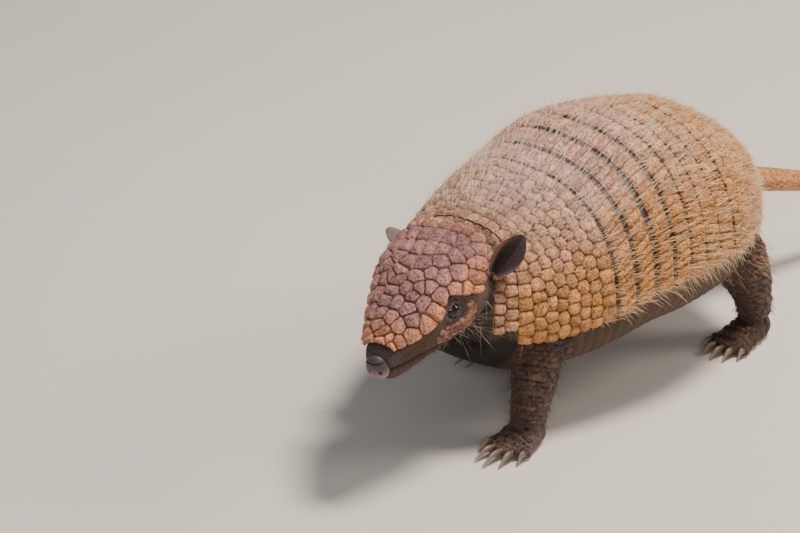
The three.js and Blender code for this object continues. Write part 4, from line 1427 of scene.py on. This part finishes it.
class ARMADILLO_OT_nose(bpy.types.Operator):
    """Adds the nose pad with its nostrils"""

    bl_idname = "armadillo.nose"
    bl_label = "Add nose"

    def execute(self, context):
        ball = ball_points(90, 96)
        ahead, across, up = np.moveaxis(ball, -1, 0)
        dent = np.zeros(ball.shape[:2])
        for side in (1, -1):
            away = ball - unit(np.array([0.8, side * 0.52, -0.12]))
            gap = np.sqrt((away[..., 1] / 1.1) ** 2 + (away[..., 2] / 0.75) ** 2 + away[..., 0] ** 2)
            dent += 2.6 * np.exp(-(gap / 0.17) ** 2) - 0.4 * np.exp(-((gap - 0.3) / 0.09) ** 2)
        cleft = np.exp(-(across / 0.05) ** 2) * smooth_step(0.2, 0.6, ahead) * smooth_step(0.1, -0.2, up)
        brow = np.exp(-((up - 0.62) / 0.06) ** 2) * smooth_step(-0.2, 0.3, ahead)
        local = ball * np.array(NOSE_RADII) * 0.92
        local = local * (1 - (dent + 0.5 * cleft + 0.9 * brow) / 9.0)[..., None]
        points, faces = loft(head_place(local + np.array([NOSE_AHEAD, 0, NOSE_UP])))
        piece = outward(make_object("nose_pad", points, faces, {
            # painted shade: near black in the nostril dents and in the cleft and brow grooves
            "pit": np.append(np.clip(dent / 1.6 + brow + 0.6 * cleft, 0, 1), [0, 0]),
            "low": np.append(smooth_step(0.35, -0.5, up), [0, 0])}))
        declare(piece, "nose", nose_material(), "nose")
        return {"FINISHED"}


def nose_material():
    """Damp nose leather: purple-grey, pinker below, near black in the nostrils and grooves as painted shade,
    with pores of about 1 mm.
    """
    material, tree, shader, pit, low = new_material("moist nose leather", 0.42, 1.42, 0.45, ("pit", "low"))
    place = add_node(tree, "TexCoord").outputs["Object"]
    cells = add_node(tree, "TexVoronoi", {"Vector": place, "Scale": 900.0}, feature="DISTANCE_TO_EDGE")
    shade = add_node(tree, "Mix", {0: low, 6: "#4e444b", 7: "#91717a"}, data_type="RGBA")
    shade = add_node(tree, "Mix", {0: pit, 6: shade, 7: "#140e0d"}, data_type="RGBA")
    bump = add_node(tree, "Bump", {"Strength": 0.4, "Distance": 0.0004, "Height": cells})
    set_inputs(shader, {"Base Color": shade, "Normal": bump})
    return material


class ARMADILLO_OT_claws(bpy.types.Operator):
    """Adds the claws of each foot"""

    bl_idname = "armadillo.claws"
    bl_label = "Add claws"

    def execute(self, context):
        horn = claw_material()
        share = np.linspace(-0.22, 1, 26)[:, None]
        t = np.clip(share, 0, 1)
        radius = CLAW_RADIUS * (1 - 0.86 * t ** 1.5)
        circle = full_turn(16)[None, :]
        out = 0.72 * radius * np.cos(circle)
        low = np.where(np.sin(circle) < 0, 0.7, 1.0)
        up = (TOE_UP + 0.6 + 1.2 * np.sin(math.pi * np.minimum(1, 1.3 * t)) - 3.4 * t * t
              + radius * low * np.sin(circle))
        along = np.append(share + 0 * circle, [-0.22, 1.0])
        for name, foot in FEET.items():
            shapes = []
            for index in range(5):
                _, end, fan = toe_line(foot[0], index)
                ahead = 0.3 + foot[0]["claws"][index] * share
                a = end[0] + ahead * math.cos(fan) - out * math.sin(fan)
                s = end[1] + ahead * math.sin(fan) + out * math.cos(fan)
                shapes.append(oriented(*loft(foot_place(foot, a, s, np.maximum(up, 0.1)))))
            piece = make_object(name.replace("foot", "claws"), *join_shapes(shapes),
                                {"along": np.tile(along, 5)})
            declare(piece, "claw", horn, *(f"claw_{name.replace('foot', '')}_{i}" for i in range(1, 6)))
        return {"FINISHED"}


def claw_material():
    """Worn horn: dark at the root, paler towards the tip, scratched lengthways about every 1 mm."""
    material, tree, shader, along = new_material("claw horn", 0.38, 1.54, 0.45, ("along",))
    place = add_node(tree, "TexCoord").outputs["Object"]
    stretch = add_node(tree, "Mapping", {"Vector": place, "Scale": (1400.0, 160.0, 900.0)})
    streak = add_node(tree, "TexNoise", {"Vector": stretch, "Scale": 1.0, "Detail": 4.0})
    tipped = add_node(tree, "Math", {0: streak, 1: 0.5, 2: along}, operation="MULTIPLY_ADD", use_clamp=True)
    shade = add_node(tree, "Mix", {0: tipped, 6: "#2c2522", 7: "#8a7768"}, data_type="RGBA")
    bump = add_node(tree, "Bump", {"Strength": 0.3, "Distance": 0.0004, "Height": streak})
    set_inputs(shader, {"Base Color": shade, "Normal": bump})
    return material


# ---- small scales and hair -------------------------------------------------------------------------


PATCH = 0.003  # width of a hair's patch on the unwrap
HAIR_TAPER = np.array([1.0, 0.85, 0.6, 0.12])[:, None]  # a hair's width along it, as shares of its root's


def turns_to(ways, faces_down):
    """Quaternions that turn an item's Z to each way and its X as near as can be to another direction."""
    z = unit(ways)
    x = unit(faces_down - z * np.sum(faces_down * z, -1, keepdims=True))
    y = np.cross(z, x)
    matrices = np.stack([x, y, z], -1)
    return np.array([tuple(Matrix(m.tolist()).to_quaternion()) for m in matrices])


def scatter_tree(name, items, material):
    """Node tree that sets an item on each point by the point's turn and size, and makes it real mesh."""
    tree = bpy.data.node_groups.new(name, "GeometryNodeTree")
    for label, kind in (("Geometry", "NodeSocketGeometry"), ("Size", "NodeSocketFloat"),
                        ("Variation", "NodeSocketFloat"), ("Seed", "NodeSocketInt")):
        tree.interface.new_socket(label, in_out="INPUT", socket_type=kind)
    tree.interface.new_socket("Geometry", in_out="OUTPUT", socket_type="NodeSocketGeometry")
    given = add_node(tree, "NodeGroupInput").outputs
    turn = add_node(tree, "GeometryNodeInputNamedAttribute", {"Name": "turn"}, data_type="QUATERNION")
    size = add_node(tree, "GeometryNodeInputNamedAttribute", {"Name": "size"}, data_type="FLOAT_VECTOR")
    least = add_node(tree, "Math", {0: 1.0, 1: given["Variation"]}, operation="SUBTRACT")
    most = add_node(tree, "Math", {0: 1.0, 1: given["Variation"]}, operation="ADD")
    chance = add_node(tree, "FunctionNodeRandomValue", {2: least, 3: most, "Seed": given["Seed"]},
                      data_type="FLOAT")
    factor = add_node(tree, "Math", {0: chance, 1: given["Size"]}, operation="MULTIPLY")
    scale = add_node(tree, "VectorMath", {0: size, "Scale": factor}, operation="SCALE")
    pick = add_node(tree, "FunctionNodeRandomValue", {4: 0, 5: len(items) - 1, "Seed": given["Seed"]},
                    data_type="INT")
    choice = add_node(tree, "GeometryNodeJoinGeometry")
    for item in items:
        shape = add_node(tree, "GeometryNodeObjectInfo", {"Object": item, "As Instance": True})
        set_inputs(choice, {0: shape.outputs["Geometry"]})
    placed = add_node(tree, "GeometryNodeInstanceOnPoints", {
        "Points": given["Geometry"], "Instance": choice, "Pick Instance": True, "Instance Index": pick,
        "Rotation": turn, "Scale": scale})
    real = add_node(tree, "GeometryNodeRealizeInstances", {"Geometry": placed})
    finish = add_node(tree, "GeometryNodeSetMaterial", {"Geometry": real, "Material": material})
    add_node(tree, "NodeGroupOutput", {"Geometry": finish})
    return tree


def scatter(name, roots, items, material, variation=0.2, seed=1, coat=True):
    """Adds a plain mesh of items on the roots: points, turns, sizes, unwrap, tone and warmth."""
    points, turns, sizes, unwrap, tone, warm = roots
    mesh = bpy.data.meshes.new(name + "_roots")
    mesh.vertices.add(len(points))
    mesh.vertices.foreach_set("co", ((points - CENTRE) * MM).ravel())
    for key, kind, field, values in (("turn", "QUATERNION", "value", turns),
                                     ("size", "FLOAT_VECTOR", "vector", sizes * MM),
                                     ("unwrap", "FLOAT_VECTOR", "vector", np.pad(unwrap, ((0, 0), (0, 1)))),
                                     ("tone", "FLOAT", "value", tone), ("warm", "FLOAT", "value", warm)):
        mesh.attributes.new(key, kind, "POINT").data.foreach_set(field, np.asarray(values, float).ravel())
    holder = add_object(name + "_roots", mesh)
    tree = scatter_tree(name, items, material)
    modifier = holder.modifiers.new("scatter", "NODES")
    modifier.node_group = tree
    wanted = {"Size": 1.0, "Variation": variation, "Seed": seed}
    for socket in tree.interface.items_tree:
        if socket.in_out == "INPUT" and socket.name in wanted:
            modifier[socket.identifier] = wanted[socket.name]
    graph = bpy.context.evaluated_depsgraph_get()
    made = bpy.data.meshes.new_from_object(holder.evaluated_get(graph))
    made.name = name
    bpy.data.objects.remove(holder)
    made.shade_smooth()
    if coat:
        place, patch = (read_array(made.attributes[key].data, "vector", 3)[:, :2]
                        for key in ("unwrap", "patch"))
        corner = read_array(made.loops, "vertex_index", 1, int)[:, 0]
        uv = (place + PATCH * (patch - 0.5))[corner]
        made.uv_layers.new(name="OFBake").data.foreach_set("uv", uv.ravel())
    for key in ("turn", "size", "unwrap", "patch"):
        if key in made.attributes:
            made.attributes.remove(made.attributes[key])
    piece = add_object(name, made)
    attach(piece, "root")


def hair_items(bends):
    """Unit hairs along Z that bend towards X, each a closed tapered rod of three sides."""
    items = []
    t = np.linspace(0, 1, len(HAIR_TAPER))[:, None]
    radius = 0.5 * HAIR_TAPER
    turn = full_turn(3)
    for number, bend in enumerate(bends):
        rings = np.stack([bend * t ** 2 + radius * np.cos(turn), radius * np.sin(turn), t + 0 * turn], -1)
        solid, faces = oriented(*loft(rings))
        item = make_object(f"hair_item_{number}", solid / MM + CENTRE, faces,
                           {"along": np.append(np.repeat(t, 3), [0, 1])})
        patch = np.stack([np.append(np.tile(np.linspace(0.1, 0.9, 3), len(t)), [0.5, 0.5]),
                          np.append(np.repeat(0.05 + 0.9 * t, 3), [0.02, 0.98]), np.zeros(len(solid))], -1)
        item.data.attributes.new("patch", "FLOAT_VECTOR", "POINT").data.foreach_set("vector", patch.ravel())
        items.append(item)
    return items


def scale_item():
    """Unit scale: a low dome with a broad front and a rounded rear, about as wide as long."""
    turn = full_turn(8) + math.pi / 8
    rings = [np.stack([0.5 * share * bulge(np.cos(turn), 2.8), 0.5 * share * bulge(np.sin(turn), 2.8),
                       rise + 0.1 * np.cos(turn)], -1)
             for share, rise in ((1.0, -0.3), (0.92, 0.12), (0.5, 0.3))]
    solid, faces = oriented(*loft(rings))
    edge = np.append(np.repeat([0.0, 0.16, 1.0], 8), [0, 1])
    return make_object("scale_item", solid / MM + CENTRE, faces, {"seam": edge})


def shell_roots(y, angle, length, width, lift, sway, rng):
    """Hair roots on the armour, lying towards the tail: lift and sway are tangents of their angles."""
    point, normal, along = shell_frame(y, angle)
    way = along + normal * lift[:, None] + np.cross(normal, along) * sway[:, None]
    share = np.interp(angle, _turns, _even)
    unwrap = np.stack([0.01 + 0.28 * (share + 1), 0.02 + 0.96 * (y + 146) / 320], -1)
    sizes = np.stack([width, width, length], -1)
    return point + 0.5 * normal, turns_to(way, -normal), sizes, unwrap, rng.random(len(y)), warmth(point)


def joined_roots(parts):
    return [np.concatenate(column) for column in zip(*parts)]


class BristleSettings(bpy.types.PropertyGroup):
    length: length("Length", "Usual length of a bristle on the armour", 12.5, 2, 40)
    width: length("Width", "Width of a bristle at its root", 0.48, 0.1, 1, precision=5)
    density: bpy.props.FloatProperty(
        name="Density", description="How many bristles and hairs there are", default=1.0, min=0.1, max=2,
        subtype="FACTOR")
    seed: bpy.props.IntProperty(name="Seed", description="Seed of the coat's chance", default=5, min=0)


class ARMADILLO_OT_bristles(bpy.types.Operator):
    """Adds the bristles that stand from the rear edges of bands and scutes, and along the margins"""

    bl_idname = "armadillo.bristles"
    bl_label = "Add bristles"

    def execute(self, context):
        settings = context.scene.armadillo_bristles
        rng = np.random.default_rng(settings.seed)
        usual, width, density = settings.length / MM, settings.width / MM, settings.density
        items = hair_items((-4.0, -1.0, 2.5))
        straw, golden = hair_material(), hair_material("golden bristle")

        def around(count, edge):
            """Angles of chance round the shell, even along its girth."""
            return angle_at(rng.uniform(-edge, edge, int(count * density)))

        def roots(y, angle, reach, wide, lift, sway, lean=0):
            """Bristles of a length, with the ends of their widths and lifts, leaning by side where asked."""
            count = len(y)
            wide, lift = width * rng.uniform(*wide, count), rng.uniform(*lift, count)
            sway = rng.normal(0, sway, count)
            if lean:
                sway = sway - lean * rng.uniform(0.3, 1.9, count)
            return shell_roots(y, angle, reach, wide, lift, sway, rng)

        rows = []
        for index in range(BAND_COUNT + 1):
            angle = around(2 * half_girth_at(joint_at(index, 0.8)) / (1.3 if index < 4 else 1.9), 0.99)
            y = joint_at(index, angle) - joint_half(index) - rng.uniform(0.2, 2.6, len(angle))
            reach = usual * (0.45 + 1.1 * rng.random(len(y)) ** 2)
            rows.append(roots(y, angle, reach, (0.7, 1.15), (0.16, 0.6), 0.24))
        scatter("bristles_of_the_joints", joined_roots(rows), items, straw, seed=settings.seed)

        rows = []
        for index in range(BAND_COUNT):
            angle = around(230, 0.98)
            y = joint_at(index, angle) + rng.uniform(3, BAND_PITCH - 4, len(angle))
            reach = 0.95 * usual * rng.uniform(0.5, 1.2, len(y))
            rows.append(roots(y, angle, reach, (0.55, 1.0), (0.2, 0.6), 0.26))
        scatter("bristles_of_the_bands", joined_roots(rows), items, straw, seed=settings.seed + 1)

        rows = []
        for share in SCAPULAR_ROWS:
            count = int(90 * density)
            angle = angle_at(np.clip(rng.normal(0, 0.34, count), -1, 1))
            place = np.clip(share + rng.normal(0.05, 0.02, count), 0.02, 0.99)
            y = lerp(nape_at(angle), scapular_rear(angle), place)
            reach = 1.3 * usual * (0.5 + 1.2 * rng.random(count) ** 2)
            rows.append(roots(y, angle, reach, (0.6, 1.0), (0.25, 0.7), 0.28))
        scatter("bristles_of_the_shoulder", joined_roots(rows), items, straw, seed=settings.seed + 2)

        rows = []
        for share in RUMP_ROWS[:-1]:
            angle = around(290, 0.99)
            place = np.clip(share + rng.normal(0.045, 0.03, len(angle)), 0.01, 0.97)
            y = lerp(pelvic_front(angle), RUMP_EDGE, place)
            reach = 0.9 * usual * rng.uniform(0.5, 1.3, len(y))
            rows.append(roots(y, angle, reach, (0.6, 1.0), (0.12, 0.5), 0.35))
        angle = around(420, 1)
        y = RUMP_EDGE - rng.uniform(0.5, 7, len(angle))
        reach = 1.3 * usual * rng.uniform(0.5, 1.3, len(y))
        rows.append(roots(y, angle, reach, (0.6, 1.0), (-0.9, 0.3), 0.4))
        for index in range(4, BAND_COUNT):
            angle = around(110, 0.99)
            y = joint_at(index, angle) + rng.uniform(3, BAND_PITCH - 2, len(angle))
            reach = 0.8 * usual * rng.uniform(0.5, 1.2, len(y))
            rows.append(roots(y, angle, reach, (0.55, 1.0), (0.12, 0.5), 0.35))
        scatter("bristles_of_the_rump", joined_roots(rows), items, golden, seed=settings.seed + 4)

        rows = []
        for side in (1, -1):
            count = int(620 * density)
            y = lerp(-70, 170, rng.random(count) ** 0.6)
            angle = side * angle_at(1 - rng.uniform(0.0, 0.05, count))
            reach = usual * (0.5 + 1.4 * rng.random(count) ** 2)
            rows.append(roots(y, angle, reach, (0.55, 0.95), (-0.15, 0.2), 0.35, side))
        scatter("bristles_of_the_margins", joined_roots(rows), items, golden, seed=settings.seed + 3)
        for item in items:
            bpy.data.objects.remove(item)
        return {"FINISHED"}


# colours at the root and at the tip, and the shade of the dullest hair
HAIR_COLOURS = {
    "straw bristle": ("#e2cdb9", "#fffaf2", 0.92), "golden bristle": ("#cf9a63", "#fae0b6", 0.82),
    "dark hair": ("#2b2019", "#6b5443", 0.6),
}


def hair_material(name="straw bristle"):
    """Stiff keratin bristle: darker and duller at the root, pale and a little clear at the tip."""
    if name in bpy.data.materials:
        return bpy.data.materials[name]
    root, tip, dullest = HAIR_COLOURS[name]
    material, tree, shader, along, tone = new_material(name, 0.38, 1.55, 0.6, ("along", "tone"))
    mixed = add_node(tree, "Mix", {0: along, 6: root, 7: tip}, data_type="RGBA")
    if name != "dark hair":
        warm = add_node(tree, "Attribute", attribute_name="warm").outputs["Fac"]
        sunny = add_node(tree, "Mix", {0: along, 6: "#d6a46b", 7: "#ffe9c2"}, data_type="RGBA")
        mixed = add_node(tree, "Mix", {0: warm, 6: mixed, 7: sunny}, data_type="RGBA")
    shade = add_node(tree, "MapRange", {"Value": tone, "To Min": dullest, "To Max": 1.12})
    final = add_node(tree, "VectorMath", {0: mixed, "Scale": shade}, operation="SCALE")
    set_inputs(shader, {"Base Color": final})
    return material


# ---- scales and hair of the hide -------------------------------------------------------------------


def hide_tree():
    """Search tree of the hide's surface, in the body's millimetres."""
    mesh = bpy.data.objects["hide"].data
    points = points_of(mesh) / MM + CENTRE
    return BVHTree.FromPolygons(points.tolist(), [tuple(p.vertices) for p in mesh.polygons])


def hide_unwrap(points):
    """Place of points on the hide's unwrap: the trunk, the head and each leg have an area of their own."""
    across = np.clip(points[:, 0] / 220 + 0.5, 0, 1)
    place = np.stack([0.6 + 0.38 * across, 0.02 + 0.22 * np.clip((points[:, 1] + 150) / 330, 0, 1)], -1)
    local = head_local(points)
    turn = np.arctan2(local[:, 1], local[:, 2] + 32) / (2 * math.pi) + 0.5
    head = np.stack([0.6 + 0.38 * turn, 0.52 + 0.46 * np.clip((local[:, 0] + 45) / 160, 0, 1)], -1)
    place = np.where((local[:, 0] > -45)[:, None] & (points[:, 1] < -118)[:, None], head, place)
    for number, stations in enumerate(LEGS.values()):
        rows = limb_rows(stations, 14)
        gap = np.linalg.norm(points[:, None] - rows[None, :, :3], axis=2) - rows[None, :, 4]
        near = rows[gap.argmin(1), :3]
        turn = np.arctan2(points[:, 0] - near[:, 0], points[:, 1] - near[:, 1]) / (2 * math.pi) + 0.5
        height = np.clip(points[:, 2] / 110, 0, 1)
        leg = np.stack([0.6 + 0.095 * number + 0.085 * turn, 0.26 + 0.24 * height], -1)
        place = np.where((gap.min(1) < 12)[:, None] & (points[:, 2] < 100)[:, None], leg, place)
    return place


def hide_roots(tree, rays, lie, sizes, rng, lift=None, spread=0.25, reach=70, shingle=0.0):
    """Roots where rays from inside the body leave the hide, each lying along lie as near as it can.

    Without a lift, items stand upright on the hide, tipped back by shingle.
    """
    found = []
    for number, (origin, way) in enumerate(zip(*rays)):
        hit, normal, _, _ = tree.ray_cast(Vector(origin), Vector(way), reach)
        if hit is not None:
            found.append((number, *hit, *normal))
    found = np.array(found)
    index = found[:, 0].astype(int)
    point, normal = found[:, 1:4], unit(found[:, 4:7])
    lie = np.broadcast_to(np.asarray(lie, float), (len(rays[0]), 3))[index]
    lie = unit(lie - normal * np.sum(lie * normal, -1, keepdims=True))
    lie = unit(lie + spread * rng.normal(0, 1, lie.shape))
    if lift is None:
        turns = turns_to(normal - shingle * lie, lie)
    else:
        turns = turns_to(lie + normal * lift[index][:, None], -normal)
    return [point - 0.2 * normal, turns, sizes[index], hide_unwrap(point), rng.random(len(index)),
            np.zeros(len(index))]


def keep_roots(roots, keep):
    return [column[keep] for column in roots]


def scute_roots(tree, rays, lie, size, warm, rng, spread, least=0.9, keep=None, **more):
    """Roots of small scutes, kept where one coordinate of their place is between two limits."""
    count = len(rays[0])
    sizes = np.tile(size, (count, 1)) * rng.uniform(least, 1.1, (count, 1))
    roots = hide_roots(tree, rays, lie, sizes, rng, spread=spread, **more)
    if keep:
        axis, low, high = keep
        roots = keep_roots(roots, (roots[0][:, axis] > low) & (roots[0][:, axis] < high))
    roots[5] = warm[0] + warm[1] * rng.random(len(roots[0]))
    return roots


def limb_rays(stations, share, turn):
    """Rays out of a limb's centre line at shares of its length and angles round it."""
    _, centre, side, front = limb_rings(stations, 60, 4)
    place = np.clip(share * 59, 0, 59)
    at, across, ahead = (np.stack([np.interp(place, np.arange(60), rows[:, k]) for k in range(3)], -1)
                         for rows in (centre, side, front))
    return at, unit(across * np.cos(turn)[:, None] + ahead * np.sin(turn)[:, None])


def foot_rays(foot, ahead, inner):
    """Upward rays from inside a foot."""
    low = foot_place(foot, ahead, inner, np.full(len(ahead), 3.0))
    return low, np.tile([0, 0, 1.0], (len(low), 1))


def foot_heading(foot):
    return foot_place(foot, 1.0, 0.0, 0.0) - foot_place(foot, 0.0, 0.0, 0.0)


def head_rays(ahead, turn, height):
    """Rays from a height on the head's middle plane, at angles from straight up, across the head."""
    origins = head_place(np.stack([ahead, 0 * ahead, height + 0 * ahead], -1))
    return origins, np.stack([0 * ahead, np.sin(turn), np.cos(turn)], -1) @ HEAD_AXES


# Small scutes of the cheek in front of the ear, as (ahead, degrees round the head, width in mm).
CHEEK_SCUTES = [
    (38, 92, 4.6), (39, 96.5, 4.4), (40, 101, 4.4), (42, 106, 5.4), (48, 104, 4.6), (44, 112, 4.6),
    (52.5, 104, 4.2), (48, 110.5, 4.4), (47, 118, 4.8), (57, 102, 4.2), (53, 112, 4.8), (61, 99, 4),
    (58, 107.5, 4.6), (66, 100, 4), (62.5, 105, 4), (63, 112, 4.4), (69, 104.5, 4), (54, 119, 4.6),
    (47, 127, 4.6), (69, 111, 4), (64, 118.5, 4.4), (35, 97, 4.2), (36, 103, 4.2), (38, 109, 4.4),
    (40.5, 117, 4.4), (58, 115, 4.2), (42, 123, 4.2), (59, 123, 4), (36, 115, 3.8),
    (3, 69, 5), (5.5, 74, 5.2), (9, 79, 5.2), (12.5, 84, 4.8),
]


def staggered(rows, columns, shift):
    """Two flat lists of a grid's places, every other row of it shifted."""
    first, second = np.meshgrid(rows, columns, indexing="ij")
    return first.ravel(), (second + shift * (np.arange(len(first)) % 2)[:, None]).ravel()


class ARMADILLO_OT_small_scutes(bpy.types.Operator):
    """Adds the small scutes of the cheeks, the nape, the tail's root, the legs and the feet"""

    bl_idname = "armadillo.small_scutes"
    bl_label = "Add small scutes"

    def execute(self, context):
        rng = np.random.default_rng(17)
        tree = hide_tree()
        item = scale_item()
        rows = []
        for side in (1, -1):
            ahead, turn, width = np.array(CHEEK_SCUTES, float).T
            point, normal, back = head_frame(ahead, side * np.radians(turn))
            shift = rng.uniform(-0.5, 0.5, (len(ahead), 1)) * normal
            sizes = np.stack([1.16 * width, 1.1 * width, 0 * width + 4.9], -1)
            roots = hide_roots(tree, (point - 9 * normal, normal), back, sizes, rng, spread=0.12, reach=30)
            roots[0] = roots[0] + shift[:len(roots[0])]
            roots[5] = 0.1 + 0.8 * rng.random(len(roots[0]))
            rows.append(roots)
        scatter("cheek_scutes", joined_roots(rows), [item], scute_material("cheeks"), 0.18, 3,
                coat=False)

        ahead, turn = staggered(np.arange(-34, -6, 6.5), np.arange(-105, 45, 10.5), 5)
        nape = scute_roots(tree, head_rays(ahead, np.radians(turn), -30.0), -HEAD_AXES[0], (7.6, 7.4, 3.4),
                           (0.45, 0.3), rng, 0.08)
        across, rise = np.meshgrid(np.radians(np.arange(-99, 100, 11)), np.radians(np.arange(-64, 80, 11)),
                                   indexing="ij")
        across = (across + 0.1 * (np.arange(rise.shape[1]) % 2)[None, :]).ravel()
        rise = rise.ravel()
        ways = np.stack([np.sin(across) * np.cos(rise), np.cos(across) * np.cos(rise), np.sin(rise)], -1)
        origins = np.tile(np.array([2.0, 148.0, 112.0]), (len(rise), 1))
        tail_root = scute_roots(tree, (origins, ways), (0, 0.4, -0.9), (8.4, 8.4, 3.6), (0.8, 0.2), rng, 0.08,
                                keep=(1, 161, math.inf))
        scatter("nape_and_tail_root_scutes", joined_roots([nape, tail_root]), [item], scute_material(),
                0.1, 6, coat=False)

        rows = []
        for stations in LEGS.values():
            count, around = 22, 16
            share, turn = np.meshgrid(np.arange(count) / count, np.arange(around) / around, indexing="ij")
            turn = (turn + 0.5 / around * (np.arange(count) % 2)[:, None]) * 2 * math.pi
            share = (share + rng.normal(0, 0.004, share.shape)).ravel()
            rays = limb_rays(stations, share, turn.ravel() + rng.normal(0, 0.03, turn.size))
            rows.append(scute_roots(tree, rays, (0, 0, -1), (5.4, 8.2, 2.2), (0.15, 0.6), rng, 0.05, 0.85,
                                    keep=(2, 15, 84), reach=27, shingle=0.22))
        for foot in FEET.values():
            ahead, inner = staggered(np.arange(-6, foot[0]["toe_base"] + 13, 4.4), np.arange(-17, 18, 4.2), 2.1)
            rows.append(scute_roots(tree, foot_rays(foot, ahead, inner), foot_heading(foot), (4.6, 4.2, 2.4),
                                    (0.1, 0.5), rng, 0.1, 0.85, keep=(2, 5, 24)))
        scatter("leg_scales", joined_roots(rows), [item], scute_material("legs"), 0.1, 4, coat=False)
        bpy.data.objects.remove(item)
        return {"FINISHED"}


class ARMADILLO_OT_hair(bpy.types.Operator):
    """Adds the hair of the belly, throat, neck, face, legs and feet"""

    bl_idname = "armadillo.hair"
    bl_label = "Add hair of the hide"

    def execute(self, context):
        settings = context.scene.armadillo_bristles
        rng = np.random.default_rng(settings.seed + 40)
        width, density = settings.width / MM, settings.density
        tree = hide_tree()
        items = hair_items((-3.0, 1.0, 4.0))
        straw, dark, golden = (hair_material(name) for name in ("straw bristle", "dark hair", "golden bristle"))

        def sized(count, low, high, thick=0.8):
            across = width * thick * rng.uniform(0.7, 1.2, count)
            return np.stack([across, across, rng.uniform(low, high, count)], -1)

        rows = []
        for stations in LEGS.values():
            count = int(620 * density)
            rays = limb_rays(stations, rng.random(count), rng.uniform(0, 2 * math.pi, count))
            roots = hide_roots(tree, rays, (0, 0.35, -1), sized(count, 5, 13), rng,
                               rng.uniform(0.25, 0.7, count), reach=27)
            rows.append(keep_roots(roots, (roots[0][:, 2] < 96) & (roots[0][:, 2] > 16)))
        for foot in FEET.values():
            count = int(110 * density)
            ahead = rng.uniform(-6, foot[0]["toe_base"] + 10, count)
            rays = foot_rays(foot, ahead, rng.uniform(-16, 16, count))
            roots = hide_roots(tree, rays, foot_heading(foot), sized(count, 2.5, 6, 0.6), rng,
                               rng.uniform(0.2, 0.6, count))
            rows.append(keep_roots(roots, roots[0][:, 2] < 24))
        scatter("hair_of_the_legs", joined_roots(rows), items, dark, seed=11)

        count = int(2300 * density)
        y = rng.uniform(-92, 162, count)
        turn = rng.uniform(-1.5, 1.5, count)
        ways = np.stack([np.sin(turn), 0 * turn, -np.cos(turn)], -1)
        belly = hide_roots(tree, (bent_point(y, 0 * y, margin_at(y) - 6), ways), (0, 0.8, -0.6),
                           sized(count, 8, 18, 0.5), rng, rng.uniform(0.2, 0.9, count))
        scatter("hair_of_the_belly", belly, items, golden, seed=12)

        count = int(1300 * density)
        ahead = rng.uniform(-36, 22, count)
        rays = head_rays(ahead, np.radians(rng.uniform(95, 265, count)), -34.0)
        neck = hide_roots(tree, rays, (0.15, 0.1, -1.0), sized(count, 9, 26, 0.5), rng,
                          rng.uniform(0.15, 0.7, count), 0.3)
        pale = neck[4] > 0.9
        scatter("hair_of_the_neck", keep_roots(neck, pale), items, straw, seed=13)

        count = int(240 * density)
        ahead = rng.uniform(-34, 34, count)
        rays = head_rays(ahead, np.radians(rng.uniform(128, 232, count)), -34.0)
        strands = hide_roots(tree, rays, (0.1, 0.35, -1.0), sized(count, 24, 44, 0.38), rng,
                             rng.uniform(0.0, 0.5, count), 0.35)
        scatter("long_hair_of_the_throat", strands, items, straw, seed=16)
        scatter("dark_hair_of_the_neck", keep_roots(neck, ~pale), items, dark, seed=15)

        count = int(900 * density)
        ahead = rng.uniform(30, 108, count)
        rays = head_rays(ahead, np.radians(rng.uniform(88, 272, count)), head_level_at(ahead))
        face = hide_roots(tree, rays, -HEAD_AXES[0] - 0.25 * HEAD_AXES[2], sized(count, 2.5, 6, 0.5), rng,
                          rng.uniform(0.15, 0.5, count))
        bare = eye_space(head_local(face[0]))[0] > 1.9
        scatter("hair_of_the_face", keep_roots(face, bare), items, dark, seed=14)
        for item in items:
            bpy.data.objects.remove(item)
        return {"FINISHED"}


SETTINGS = {
    "armadillo_armour": ArmourSettings,
    "armadillo_head": HeadSettings,
    "armadillo_hide": HideSettings,
    "armadillo_bristles": BristleSettings,
    "armadillo_stage": StageSettings,
}
OPERATORS = (
    ARMADILLO_OT_shields, ARMADILLO_OT_bands, ARMADILLO_OT_head_shield, ARMADILLO_OT_tail,
    ARMADILLO_OT_hide, ARMADILLO_OT_ears, ARMADILLO_OT_eyes, ARMADILLO_OT_nose, ARMADILLO_OT_claws,
    ARMADILLO_OT_small_scutes, ARMADILLO_OT_bristles, ARMADILLO_OT_hair, ARMADILLO_OT_stage,
)


class ARMADILLO_PT_panel(bpy.types.Panel):
    """Lists the sizes and the pieces"""

    bl_idname = "ARMADILLO_PT_panel"
    bl_label = "Armadillo"
    bl_space_type = "VIEW_3D"
    bl_region_type = "UI"
    bl_category = "Armadillo"

    def draw(self, context):
        for attribute, group in SETTINGS.items():
            settings = getattr(context.scene, attribute)
            for key in group.__annotations__:
                self.layout.prop(settings, key)
        for operator in OPERATORS:
            self.layout.operator(operator.bl_idname)


def register():
    for group in SETTINGS.values():
        bpy.utils.register_class(group)
    for operator in OPERATORS:
        bpy.utils.register_class(operator)
    bpy.utils.register_class(ARMADILLO_PT_panel)
    for attribute, group in SETTINGS.items():
        setattr(bpy.types.Scene, attribute, bpy.props.PointerProperty(type=group))


def unregister():
    for attribute in SETTINGS:
        delattr(bpy.types.Scene, attribute)
    bpy.utils.unregister_class(ARMADILLO_PT_panel)
    for cls in (*OPERATORS, *SETTINGS.values()):
        bpy.utils.unregister_class(cls)


def main():
    register()
    for operator in OPERATORS:
        group, name = operator.bl_idname.split(".")
        getattr(getattr(bpy.ops, group), name)()


if __name__ == "__main__":
    main()
